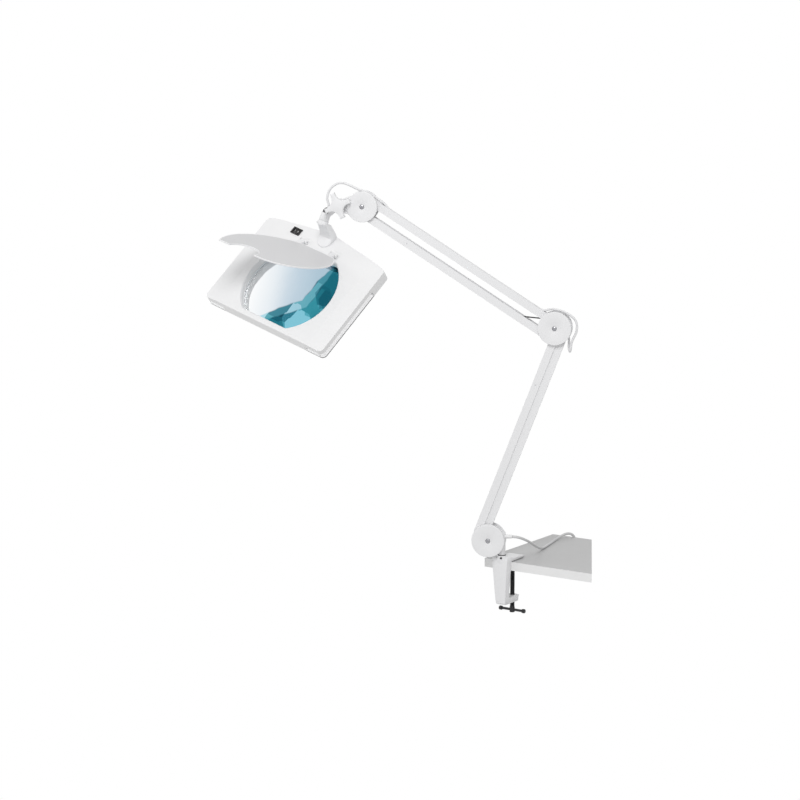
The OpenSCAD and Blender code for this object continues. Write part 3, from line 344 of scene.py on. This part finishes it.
def lens_material():
    """Clear glass whose colour is a painted reflection of the room that a lens mirrors: a pale gradient from
    the left, and blue-green painted reflection facets along the right and front rim. The UV map holds the
    lens's x and y, in half widths."""
    material = bpy.data.materials.new("lens_glass")
    material.use_nodes = True
    tree = material.node_tree
    surface = tree.nodes["Principled BSDF"]
    surface.inputs["Roughness"].default_value = 0.03
    surface.inputs["Transmission Weight"].default_value = 1.0
    surface.inputs["IOR"].default_value = 1.12
    place = node_of(tree, "ShaderNodeTexCoord").outputs["UV"]
    wobble = node_of(tree, "ShaderNodeTexNoise")
    wobble.inputs["Scale"].default_value = 2.2
    tree.links.new(place, wobble.inputs["Vector"])
    split = node_of(tree, "ShaderNodeSeparateXYZ")
    tree.links.new(place, split.inputs["Vector"])
    bend = arithmetic(tree, "MULTIPLY", arithmetic(tree, "SUBTRACT", wobble.outputs["Fac"], 0.5), 0.16)
    x = arithmetic(tree, "ADD", split.outputs["X"], bend)
    y = split.outputs["Y"]
    across = arithmetic(tree, "ADD", arithmetic(tree, "MULTIPLY", x, 0.45),
                        arithmetic(tree, "MULTIPLY", y, 0.22))
    pale = ramp_between(tree, arithmetic(tree, "ADD", across, 0.5), (
        (0.06, (0.97, 0.98, 0.985)), (0.30, (0.80, 0.85, 0.89)), (0.50, (0.55, 0.66, 0.75)),
        (0.76, (0.42, 0.56, 0.66))))
    right = arithmetic(tree, "SUBTRACT", x, 0.43)
    towards_front = arithmetic(tree, "SUBTRACT", arithmetic(tree, "MULTIPLY", x, 0.713),
                               arithmetic(tree, "MULTIPLY", y, 0.701))
    front = arithmetic(tree, "SUBTRACT", towards_front, 0.41)
    edge = arithmetic(tree, "ADD", arithmetic(tree, "MAXIMUM", right, front), 0.5)
    mask = ramp_between(tree, edge, ((0.485, (0, 0, 0)), (0.515, (1, 1, 1))))
    cells = node_of(tree, "ShaderNodeTexVoronoi", distance="MANHATTAN")
    cells.inputs["Scale"].default_value = 1.9
    tree.links.new(place, cells.inputs["Vector"])
    # Blue-green facets: painted reflection of the room, set in the glass's colour along the right and front
    # rim.
    painted_reflection_shards = ramp_between(tree, cells.outputs["Color"], (
        (0.20, (0.004, 0.070, 0.110)), (0.42, (0.014, 0.170, 0.230)), (0.62, (0.040, 0.290, 0.360)),
        (0.85, (0.22, 0.56, 0.68))))
    mix = node_of(tree, "ShaderNodeMix", data_type="RGBA")
    tree.links.new(mask, mix.inputs["Factor"])
    tree.links.new(pale, mix.inputs[6])
    tree.links.new(painted_reflection_shards, mix.inputs[7])
    tree.links.new(mix.outputs[2], surface.inputs["Base Color"])
    return material


glass = lens_material()

CAD_LOOKS = {
    powder: ["base_bracket", "lower_front_bar", "lower_rear_bar", "elbow_bracket", "upper_top_bar",
             "upper_bottom_bar", "head_knuckle"],
    cast: ["clamp_body", "tilt_hub", "neck"],
    disc_white: ["base_covers", "elbow_covers", "knuckle_covers", "star_knob"],
    shell: ["top_housing", "bottom_housing", "cord_strain_relief", "plug"],
    lid_grey: ["lens_cover"],
    painted_light_inner_white: ["lens_ring", "lamp_bases", "lamp_holders"],
    black_plastic: ["post_bush", "switch_frame", "power_rocker"],
    black_steel: ["post_set_screw", "pressure_pad", "clamp_screw", "screw_t_bar", "lower_spring_rod",
                  "upper_spring_rod"],
    zinc: ["base_pivot_pins", "elbow_pivot_pins", "knuckle_pivot_pins", "lower_spring", "lower_spring_pin",
           "upper_spring", "upper_spring_pin", "clamp_bolt", "cover_hinge_pins", "lamp_clips", "case_screws"],
    chrome: ["base_cover_screws", "elbow_cover_screws", "knuckle_cover_screws"],
    mirror: ["reflectors"],
    rubber: ["jaw_pad", "neck_grommet"],
    pale_rubber: ["lens_gasket"],
    lead_white: ["lower_cable", "elbow_cable", "upper_cable", "head_cable"],
    cord_grey: ["mains_cord", "cord_coil"],
    phosphor: ["lamps"],
    board: ["ballast"],
    plate: ["rating_plate"],
    clear: ["bay_covers"],
    glass: ["lens"],
}
for look, names in CAD_LOOKS.items():
    for node_name in names:
        data = nodes[node_name].data
        data.materials.clear()
        data.materials.append(look)

# ---------- Mains lead: the route of the part's source, then the coil ----------
RELIEF_END = in_arm(19.3, 0, 49)
ROUTE = [RELIEF_END, RELIEF_END + Vector((7.3, 3.3, -0.5))] + [Vector(p) for p in (
    (29, -17, 45), (31, -2, 38.5), (29.5, 15, 31), (26, 35, 22), (21, 56, 13.5), (15, 78, 6.5), (9, 100, 3),
    (3, 124, 2.5), (-3, 150, 2.5), (-8, 172, 3), (-8, 190, 5.6), (-4, 206, 8.4), (0, 216, 7), (2, 224, 1.5),
    (1.5, 228.4, -7), (-1.5, 229, -18), (-4.5, 229, -28))]
COIL_C = Vector((-25, 229, -38))
COIL_PITCH = CORD_D + 0.4
LAYER_TURNS, COIL_LAYERS = 2, 4
COIL_IN = 25.4 - LAYER_TURNS * COIL_PITCH / 2
COIL_TURNS = COIL_LAYERS * LAYER_TURNS + 0.25


def step_up(t):
    """A smooth step from 0 to 1."""
    s = min(max(t, 0), 1)
    return s * s * (3 - 2 * s)


def coil_point(t):
    """The coil after t turns: in and out in turn, with a climb at each reversal and at the end."""
    wave = t % (2 * LAYER_TURNS)
    wave = wave if wave < LAYER_TURNS else 2 * LAYER_TURNS - wave
    layer = step_up(t * 2) + sum(step_up((t - k * LAYER_TURNS) * 2 + 0.5) for k in range(1, COIL_LAYERS))
    layer += 3.2 * step_up((t - COIL_TURNS + 0.75) / 0.75)
    radius = COIL_IN + COIL_PITCH * wave
    a = 2 * math.pi * t
    return COIL_C + Vector((radius * math.cos(a), COIL_PITCH * layer, -radius * math.sin(a)))


COIL_RINGS = 36
coil = [coil_point(i / COIL_RINGS) for i in range(round(COIL_TURNS * COIL_RINGS) + 1)]
free = smooth_path(ROUTE + [coil[0] + Vector((0, 0, CORD_D))], 6)
PLUG_AT = coil[-1] - Vector((CORD_D, 0, 0))
lead_path = free + coil + [PLUG_AT]

# ---------- Plug, its pins and the coil's tie ----------
PLUG = Matrix.Translation(mm(PLUG_AT)) @ Matrix.Rotation(math.radians(-90), 4, "Y")


def plug_pieces():
    """The moulded body with its ribbed sleeve, and two round pins, each with a slightly thicker root."""
    bm = bmesh.new()
    ribs = []
    for i in range(5):
        z = 0.4 + 1.6 * i
        r = 3.9 + 0.22 * i
        ribs += [(r, z), (r, z + 0.8), (r - 0.6, z + 0.95), (r - 0.6, z + 1.45)]
    lathe(bm, [(0, 0.1)] + ribs + [(4.4, 8.6), (0, 8.6)], PLUG, 28)
    rings = [rounded_box_ring(bm, PLUG, hx, hy, c, z) for hx, hy, c, z in (
        (5.0, 5.0, 4.0, 8.0), (6.4, 6.4, 4.4, 9.0), (6.9, 6.9, 4.6, 11.0), (6.8, 6.9, 4.2, 16.0),
        (6.5, 7.6, 4.0, 20.5), (6.7, 10.6, 4.2, 24.0), (6.9, 12.4, 4.4, 27.0), (7.0, 12.9, 4.4, 30.0),
        (7.0, 12.9, 4.4, 35.2), (6.5, 12.4, 4.0, 36.0))]
    skin(bm, rings)
    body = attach(make_object("plug_body", bm, shell), "clamp")
    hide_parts("plug")
    bm = bmesh.new()
    for side in (-1, 1):
        at = PLUG @ Matrix.Translation(mm((0, side * 9.5, 36)))
        lathe(bm, [(2, 0), (2, 10)], at, 20)
        lathe(bm, [(1.95, 10), (1.95, 17.6), (1.5, 18.6), (0.8, 19), (0, 19)], at, 20)
    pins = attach(make_object("plug_pins", bm, chrome), "clamp")
    return body, pins


plug_body, plug_pins = plug_pieces()


def cord_tie():
    """A flat band round the bundle on the side of the coil away from its entry."""
    angle, half_width, thickness = math.radians(200), 3, 0.7
    out = Vector((math.cos(angle), 0, -math.sin(angle)))
    width = Vector((math.sin(angle), 0, math.cos(angle))) * half_width
    loop = [Vector((COIL_C[0], y, COIL_C[2])) + out * r for r, y in (
        (16.9, 232.6), (16.9, 252.6), (18.4, 254.1), (32.6, 254.1), (34.1, 252.6), (34.1, 232.6),
        (32.6, 231.1), (18.4, 231.1))]
    middle = sum(loop, Vector()) / len(loop)
    bm = bmesh.new()
    sections = []
    for p in loop:
        lifted = p + (p - middle).normalized() * thickness
        corners = (p - width, p + width, lifted + width, lifted - width)
        sections.append([bm.verts.new(mm(q)) for q in corners])
    for first, second in zip(sections, sections[1:] + sections[:1]):
        bridge(bm, first, second)
    bmesh.ops.recalc_face_normals(bm, faces=bm.faces)
    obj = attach(make_object("cord_tie", bm, black_plastic, smooth=False), "clamp")
    return obj


tie = cord_tie()

# ---------- Mains lead: one tube from the strain relief to the table, round the coil and on to the plug ---
bm = bmesh.new()
sweep(bm, lead_path, CORD_D / 2, 12)
mains_lead = make_object("mains_lead", bm, cord_grey)
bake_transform(mains_lead)
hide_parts("mains_cord", "cord_coil")


# ---------- Leads through the arms: a stretch that crosses a joint stays where it is drawn, the others ride on one body ---
def lead_piece(name, points, node, bodies=None, ride_on=None):
    """bodies = (from, to, start index, end index) for a stretch that crosses a joint; its values are not
    used, only whether it is given.
    """
    bm = bmesh.new()
    sweep(bm, smooth_path(points, 6), LEAD_D / 2, 12)
    obj = make_object(name, bm, lead_white)
    if bodies:
        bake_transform(obj)
    else:
        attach(obj, ride_on)
    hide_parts(node)


LEAD_Y = 2.2
lower_lead = [
    in_arm(-6.3, 0, 49), in_arm(-12, 0, 51), bar_point(REAR_C, LOWER_DIR, (12, -8)),
    bar_point(REAR_C, LOWER_DIR, (22, -1)), bar_point(REAR_C, LOWER_DIR, (40, LEAD_Y)),
    bar_point(REAR_C, LOWER_DIR, (70, LEAD_Y)), bar_point(REAR_C, LOWER_DIR, (ARM_L - 70, LEAD_Y)),
    bar_point(REAR_C, LOWER_DIR, (ARM_L - 44, LEAD_Y)), bar_point(REAR_C, LOWER_DIR, (ARM_L - 20, 4.6)),
]
elbow_lead = [
    bar_point(REAR_C, LOWER_DIR, (ARM_L - 18.7, 4.8)), bar_point(REAR_C, LOWER_DIR, (ARM_L - 8, 6.6)),
] + [plane_point(ELBOW_C, p, out) for p, out in (
    ((9, -10), 0), ((14, -5.5), 0), ((21, -9), -1), ((25, -18), -3), ((25, -28), -4), ((25, -38), -4),
    ((27.5, -43.5), 0), ((29.5, -37), 4), ((30.7, -27), 4), ((34.5, -17.6), 3), ((39.3, -7), 3),
    ((40.6, 5), 2), ((38, 13.5), 1), ((31, 21.3), 1), ((20, 28), 0), ((7, 32.5), 0), ((-8, 34.6), 0))] + [
    bar_point(TOP_C, UPPER_DIR, (20, -9)), bar_point(TOP_C, UPPER_DIR, (32.6, -4.2))]
upper_lead = [bar_point(TOP_C, UPPER_DIR, p) for p in (
    (33, -4), (46, -1), (66, LEAD_Y), (90, LEAD_Y), (ARM_L - 90, LEAD_Y), (ARM_L - 68, LEAD_Y),
    (ARM_L - 52, 0), (ARM_L - 38, -4.5))]
neck_axis = along(72)
head_lead = [bar_point(TOP_C, UPPER_DIR, p) for p in (
    (ARM_L - 37.6, -4.7), (ARM_L - 24, -9.6), (ARM_L - 8, -10.4))] + [plane_point(HEAD_C, p) for p in (
    (16, 21.5), (1, 28), (-11, 32), (-24, 38), (-36, 42.4), (-48, 41.6), (-59, 34.6), (-65.5, 25),
    (-68, 13))] + [plane_point(NECK_C, neck_axis * 22.5), plane_point(NECK_C, neck_axis * 17.1)]
lead_piece("lower_lead", lower_lead, "lower_cable", ("base_bracket", "lower_rear_bar", 0, 3))
lead_piece("elbow_lead_low", elbow_lead[:14], "elbow_cable", ("lower_front_bar", "elbow", 0, 3))
lead_piece("elbow_lead_high", elbow_lead[13:], "elbow_cable", ("elbow", "upper_top_bar", 4, 6))
lead_piece("upper_lead", upper_lead, "upper_cable", ride_on="upper_top_bar")
lead_piece("head_lead_bar", head_lead[:8], "head_cable", ("upper_top_bar", "knuckle", 1, 4))
lead_piece("head_lead_neck", head_lead[7:], "head_cable", ("knuckle", "tilt_hub", 0, 5))


# ---------- Balance springs: a close coil with a hook, and a rod to the other bar's pivot ----------
SPRING_X, SPRING_L, SPRING_Y = 62.0, 230.0, 0.6
SPRING_R, WIRE, WIRE_GAP = 5.0, 1.6, 0.35
PER_TURN = 10
ROD_R, EYE_R = 1.25, 3.8


def spring_piece(name, pivot, direction, body, node, rod_gap, rod_node):
    """rod_gap is the distance from this bar's pivot to the other bar's, where the rod's eye sits."""
    steps = int(SPRING_L / (WIRE + WIRE_GAP)) * PER_TURN
    across = SPRING_R - WIRE / 2
    path = [bar_point(pivot, direction, (SPRING_X + x, SPRING_Y)) for x in (-5, -1)]
    for i in range(steps + 1):
        a = 2 * math.pi * i / PER_TURN
        x = SPRING_X + 1 + (SPRING_L - 2) * i / steps
        path.append(bar_point(pivot, direction, (x, SPRING_Y + across * math.cos(a)), across * math.sin(a)))
    end = SPRING_X + SPRING_L
    path += [bar_point(pivot, direction, (end + x, y)) for x, y in (
        (1, SPRING_Y), (6, 2.6), (9.4, 2.4), (10.6, 0), (9.2, -2.3), (6.6, -2.4))]
    bm = bmesh.new()
    sweep(bm, path, WIRE / 2, 6)
    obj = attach(make_object(name, bm, zinc), body)
    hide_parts(node)
    eye = [bar_point(pivot, direction, (EYE_R * math.cos(a), EYE_R * math.sin(a) - rod_gap))
           for a in (math.radians(d) for d in range(-320, 1, 20))]
    reach = Vector((SPRING_X - 4, rod_gap + SPRING_Y))
    rod = eye + [bar_point(pivot, direction, (6 + (reach[0] - 6) * t, reach[1] * (0.04 + 0.96 * t) - rod_gap))
                 for t in (i / 12 for i in range(13))]
    bm = bmesh.new()
    sweep(bm, rod, ROD_R, 10)
    rod_obj = make_object(name + "_rod", bm, black_steel)
    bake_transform(rod_obj)
    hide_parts(rod_node)


spring_piece("lower_coil_spring", FRONT_C, LOWER_DIR, "lower_front_bar", "lower_spring", LOWER_GAP,
             "lower_spring_rod")
spring_piece("upper_coil_spring", BOTTOM_C, UPPER_DIR, "upper_bottom_bar", "upper_spring", UPPER_GAP,
             "upper_spring_rod")


# ---------- Clamp screw with its thread ----------
def threaded_screw():
    """A rolled thread on the shank, a smooth neck into the pad and a plain head for the T-bar."""
    bm = bmesh.new()
    radius, pitch, depth = 4.5, 1.5, 0.85
    foot, top = -94.0, -23.0
    per_pitch, sides = 8, 32
    rows = int((top - foot) / pitch * per_pitch)
    rings = []
    for i in range(rows + 1):
        z = foot + (top - foot) * i / rows
        fade = min(1, (z - foot) / 4, (top - z) / 1.5)
        ring = []
        for k in range(sides):
            phase = (z / pitch - k / sides) % 1
            flank = abs(2 * phase - 1)
            r = radius - depth * min(1, max(0, 1.25 * flank - 0.12)) * max(0, fade)
            a = 2 * math.pi * k / sides
            ring.append(bm.verts.new(mm((r * math.cos(a), r * math.sin(a), z))))
        rings.append(ring)
    for first, second in zip(rings, rings[1:]):
        bridge(bm, first, second)
    identity = Matrix.Identity(4)
    lathe(bm, [(0, -104.3), (4.2, -104.3), (4.8, -103.9), (5, -103.2), (5, -95.2), (4.8, -94.6), (4.2, -94.4),
               (4.2, -93.5)], identity, 32)
    lathe(bm, [(3.6, -23.4), (3.5, -23.0), (3.5, -18.6), (0, -18.6)], identity, 32)
    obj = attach(make_object("threaded_screw", bm, black_steel), "clamp_screw")
    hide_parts("clamp_screw")


threaded_screw()


# ---------- Lens: a smooth biconvex blank, trimmed flat at front and back ----------
def lens_piece():
    radius, half_depth, edge = 95.0, 78.5, 1.0
    index_less_one, focal_length = 0.523, 400
    curve = 2 * index_less_one * focal_length
    sag = curve - math.sqrt(curve * curve - radius * radius)
    sides, rings_count = 144, 28

    def height(r):
        """Half the lens's thickness at this distance from its middle."""
        return edge + sag - curve + math.sqrt(max(0, curve * curve - r * r))

    bm = bmesh.new()
    rims = []
    for side in (1, -1):
        rings = [[bm.verts.new(HEAD @ mm((0, 0, side * height(0))))]]
        for i in range(1, rings_count + 1):
            ring = []
            for k in range(sides):
                a = 2 * math.pi * k / sides
                limit = min(radius, half_depth / max(1e-6, abs(math.sin(a)))) - 0.05
                r = limit * i / rings_count
                ring.append(bm.verts.new(HEAD @ mm((r * math.cos(a), r * math.sin(a), side * height(r)))))
            rings.append(ring)
        for first, second in zip(rings, rings[1:]):
            for k in range(sides):
                n = (k + 1) % sides
                corners = [first[k % len(first)], first[n % len(first)], second[n], second[k]]
                whole_face(bm, corners[::side])
        rims.append(rings[-1])
    bridge(bm, rims[1], rims[0])
    for rim in rims:
        for k in range(sides):
            bm.edges.get((rim[k], rim[(k + 1) % sides])).smooth = False
    to_head = HEAD.inverted()
    uv = bm.loops.layers.uv.new("lens_plane")
    for face in bm.faces:
        for loop in face.loops:
            own = to_head @ loop.vert.co
            loop[uv].uv = (own.x * 1000 / radius, own.y * 1000 / radius)
    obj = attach(make_object("lens_glass", bm, glass), "head")
    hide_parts("lens")


lens_piece()

# ---------- Lens cover: a frosted panel with a finger notch, a bright rim and two hinge knuckles ----------
LID_AXIS_Y, LID_AXIS_Z, LID_OPEN = 92.0, 17.6, math.radians(47)
LID_Z, LID_T = 14.6, 2.5
LID_SKEW, LID_RIGHT_R, LID_LEFT_R = 10.0, 93.5, 115.0
NOTCH_C, NOTCH_R = Vector((-35.0, -81.0)), 29.5
KNUCKLE_X, KNUCKLE_W = 38, 12
LID = (HEAD @ Matrix.Translation(mm((0, LID_AXIS_Y, LID_AXIS_Z))) @ Matrix.Rotation(-LID_OPEN, 4, "X")
       @ Matrix.Translation(mm((0, -LID_AXIS_Y, -LID_AXIS_Z))))


def arc(centre, radius, start, end, steps):
    """Points on a circle, from one angle to the other in degrees."""
    return [centre + radius * along(start + (end - start) * i / steps) for i in range(steps + 1)]


def lid_outline():
    """The cover's outline, anticlockwise: right side, back, left side, and the free edge with its notch."""
    right = arc(Vector((-LID_SKEW, 8)), LID_RIGHT_R, -75, 50.3, 40)
    left = arc(Vector((LID_SKEW, -30)), LID_LEFT_R, 108, 210, 40)
    tip, start = left[-1], right[0]
    free_edge = [tip.lerp(start, i / 40) for i in range(1, 40)]
    outside = [p for p in free_edge if (p - NOTCH_C).length > NOTCH_R + 0.5]
    before = [p for p in outside if p[0] < NOTCH_C[0]]
    after = [p for p in outside if p[0] > NOTCH_C[0]]
    slope = math.degrees(math.atan2(start[1] - tip[1], start[0] - tip[0]))
    depth = (NOTCH_C - tip).cross(start - tip) / (start - tip).length
    sink = math.degrees(math.asin(-depth / NOTCH_R))
    notch = arc(NOTCH_C, NOTCH_R, 180 + slope + sink, slope - sink, 30)
    return right + left + before + notch + after


def lid_layer(bm, inset, z):
    """The outline moved inwards by inset, at height z."""
    points = lid_outline()
    count = len(points)
    layer = []
    for i, p in enumerate(points):
        ahead = (points[(i + 1) % count] - p).normalized()
        back = (p - points[i - 1]).normalized()
        inwards = Vector((-ahead[1] - back[1], ahead[0] + back[0])).normalized()
        reach = inset / max(0.6, inwards.dot(Vector((-ahead[1], ahead[0]))))
        layer.append(bm.verts.new(LID @ mm((p[0] + inwards[0] * reach, p[1] + inwards[1] * reach, z))))
    return layer


def lens_cover_pieces():
    """The frosted panel, its white rim, and the knuckles with the tabs that carry them."""
    bm = bmesh.new()
    low, top = LID_Z, LID_Z + LID_T
    skin(bm, [lid_layer(bm, 1.5, low + 0.2), lid_layer(bm, 1.2, low + 0.2), lid_layer(bm, 1.2, top - 0.25),
              lid_layer(bm, 1.5, top - 0.2)])
    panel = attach(make_object("lid_panel", bm, lid_grey, smooth=False), "lens_cover")
    bm = bmesh.new()
    section = ((2.0, low + 0.25), (1.9, low), (0.35, low), (0.08, low + 0.12), (0, low + 0.4), (0, top - 0.3),
               (0.1, top), (0.4, top + 0.15), (1.3, top + 0.15), (1.7, top), (2.0, top - 0.25))
    layers = [lid_layer(bm, inset, z) for inset, z in section]
    for first, second in zip(layers, layers[1:] + layers[:1]):
        bridge(bm, first, second)
    bmesh.ops.recalc_face_normals(bm, faces=bm.faces)
    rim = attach(make_object("lid_rim", bm, disc_white), "lens_cover")
    bm = bmesh.new()
    for side in (-1, 1):
        at = (LID @ Matrix.Translation(mm((side * KNUCKLE_X - KNUCKLE_W / 2, LID_AXIS_Y, LID_AXIS_Z)))
              @ Matrix.Rotation(math.radians(90), 4, "Y"))
        lathe(bm, [(1.56, 0), (3.1, 0), (3.5, 0.4), (3.5, KNUCKLE_W - 0.4), (3.1, KNUCKLE_W),
                   (1.56, KNUCKLE_W), (1.56, 0)], at, 32)
        left, right = [side * KNUCKLE_X + end * (KNUCKLE_W / 2 - 0.1) for end in (-1, 1)]
        strip = []
        for y, z0, z1 in ((67, low + 0.4, top - 0.5), (76, low + 0.3, top - 0.35), (80, low + 0.1, top + 0.5),
                          (85, low + 0.1, top + 1.8), (90, low + 0.2, top + 3.3)):
            strip.append([bm.verts.new(LID @ mm(q)) for q in (
                (left, y, z0), (right, y, z0), (right, y, z1), (left, y, z1))])
        skin(bm, strip)
    bmesh.ops.recalc_face_normals(bm, faces=bm.faces)
    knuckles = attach(make_object("lid_knuckles", bm, disc_white, smooth=False), "lens_cover")
    soften(knuckles, 0.3)
    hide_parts("lens_cover")


lens_cover_pieces()


# ---------- Off and on marks on the rocker ----------
DECK_Y, DECK_Z, DECK_L, DECK_FALL = 92, 14, 40, 2.5
ROCKER_X, ROCKER_Y, ROCKER_DEPTH, ROCKER_TIP = -69, 106, 3, math.radians(8)
WING_RISE, WING_L, MARK_X, MARK_Z = 1.4, 6.4, 3.4, 4.38


def rocker_marks():
    """A ring for off and a bar for on, each on its own wing of the rocker."""
    deck = math.atan2(DECK_FALL, DECK_L)
    z = DECK_Z - DECK_FALL * (ROCKER_Y - DECK_Y) / DECK_L
    place = (HEAD @ Matrix.Translation(mm((ROCKER_X, ROCKER_Y, z))) @ Matrix.Rotation(-deck, 4, "X")
             @ Matrix.Translation(mm((0, 0, -ROCKER_DEPTH))) @ Matrix.Rotation(ROCKER_TIP, 4, "Y"))
    tip = math.atan2(WING_RISE, WING_L)
    bm = bmesh.new()
    off_place, on_place = [
        place @ Matrix.Translation(mm((side * MARK_X, 0, MARK_Z))) @ Matrix.Rotation(-side * tip, 4, "Y")
        for side in (1, -1)]
    lathe(bm, [(1.0, -0.1), (1.0, 0.12), (1.45, 0.12), (1.45, -0.1)], off_place, 24)
    bar = [(-0.25, -1.5), (0.25, -1.5), (0.25, 1.5), (-0.25, 1.5)]
    skin(bm, [[bm.verts.new(on_place @ mm((x, y, height))) for x, y in bar] for height in (-0.1, 0.12)])
    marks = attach(make_object("rocker_marks", bm, mark_white, smooth=False), "power_rocker")


rocker_marks()

# ---------- Rounded edges on the solids that show: (width in mm, angle in degrees) ----------
EDGE_ROUNDS = {
    "clamp_body": (0.9, 12), "star_knob": (0.9, 30),
    "base_covers": (0.3, 30), "elbow_covers": (0.3, 30), "knuckle_covers": (0.3, 30), "tilt_hub": (0.5, 30),
    "neck": (0.9, 12), "head_knuckle": (0.4, 30), "base_bracket": (0.35, 30), "elbow_bracket": (0.35, 30),
    "screw_t_bar": (0.2, 30), "pressure_pad": (0.3, 30), "lens_ring": (0.3, 30), "power_rocker": (0.35, 12),
    "switch_frame": (0.3, 30), "lamp_holders": (0.3, 30), "lamp_bases": (0.4, 30),
    "cord_strain_relief": (0.3, 30), "jaw_pad": (0.2, 30), "post_bush": (0.2, 30), "case_screws": (0.12, 30),
    "neck_grommet": (0.4, 30),
}
for node_name, (width, angle) in EDGE_ROUNDS.items():
    soften(nodes[node_name], width, angle=angle)
ROOF_CREASE = 2.2
for node_name in ("top_housing", "bottom_housing"):
    soften(nodes[node_name], 0.5, angle=30, crease=ROOF_CREASE)

# ---------- Stage: table slab and floor ----------
TABLE_TOP = [(-43.6, -29.4), (189, -29.4), (44, 222), (-43.6, 222)]
TABLE_Z, TABLE_UNDERSIDE = -0.02, -16.5
FLOOR_Z = -0.74
ROOM_LIGHT = 0.54


def table_slab():
    """A grey slab whose front edge has a white band."""
    bm = bmesh.new()
    low = [bm.verts.new(mm((x, y, TABLE_UNDERSIDE))) for x, y in TABLE_TOP]
    high = [bm.verts.new(mm((x, y, TABLE_Z))) for x, y in TABLE_TOP]
    bm.faces.new(high)
    bm.faces.new(list(reversed(low)))
    for k in range(4):
        side = bm.faces.new((low[k], low[(k + 1) % 4], high[(k + 1) % 4], high[k]))
        side.material_index = 1 if k == 0 else 0
    top = shader("table_top", (0.54, 0.54, 0.54), 0.5, speckle=0.012, mottle=30, grain=400, bump=0.1)
    table = make_object("stage_table", bm, top, smooth=False)
    table.data.materials.append(
        shader("table_band", (0.86, 0.86, 0.86), 0.5, speckle=0.01, mottle=30, grain=400, bump=0.1))
    return table


def seen_by_viewer(tree):
    """1 for camera, glossy and transmission rays, 0 for the rest."""
    light_path = node_of(tree, "ShaderNodeLightPath").outputs
    both = arithmetic(tree, "MAXIMUM", light_path["Is Camera Ray"], light_path["Is Glossy Ray"])
    return arithmetic(tree, "MAXIMUM", both, light_path["Is Transmission Ray"])


def white_floor():
    """A pale floor that the camera sees as plain white."""
    bm = bmesh.new()
    bmesh.ops.create_circle(bm, cap_ends=True, segments=64, radius=3.2,
                            matrix=Matrix.Translation((0, 0.6, FLOOR_Z)))
    look = shader("floor_pale", (0.80, 0.80, 0.80), 0.7, speckle=0.01, mottle=1.5, grain=60, bump=0.02)
    tree = look.node_tree
    plain_white = node_of(tree, "ShaderNodeEmission")
    choose = node_of(tree, "ShaderNodeMixShader")
    tree.links.new(seen_by_viewer(tree), choose.inputs["Fac"])
    tree.links.new(tree.nodes["Principled BSDF"].outputs[0], choose.inputs[1])
    tree.links.new(plain_white.outputs[0], choose.inputs[2])
    tree.links.new(choose.outputs[0], tree.nodes["Material Output"].inputs["Surface"])
    return make_object("stage_floor", bm, look, smooth=False)


table_slab()
white_floor()

world = bpy.data.worlds.new("world")
bpy.context.scene.world = world
world.use_nodes = True
background = world.node_tree.nodes["Background"]
background.inputs["Color"].default_value = (1, 1, 1, 1)
level = node_of(world.node_tree, "ShaderNodeMapRange")
level.inputs["To Min"].default_value = ROOM_LIGHT
level.inputs["To Max"].default_value = 1.0
world.node_tree.links.new(seen_by_viewer(world.node_tree), level.inputs["Value"])
world.node_tree.links.new(level.outputs["Result"], background.inputs["Strength"])


def area_light(name, place, size, power):
    data = bpy.data.lights.new(name, "AREA")
    data.shape = "DISK"
    data.size = size
    data.energy = power
    lamp = bpy.data.objects.new(name, data)
    bpy.context.scene.collection.objects.link(lamp)
    lamp.location = place
    lamp.rotation_euler = (AIM - Vector(place)).to_track_quat("-Z", "Y").to_euler()


area_light("key", (1.1, -2.4, 2.6), 1.5, 48)
area_light("fill", (-2.2, -1.8, 1.2), 2.2, 10)
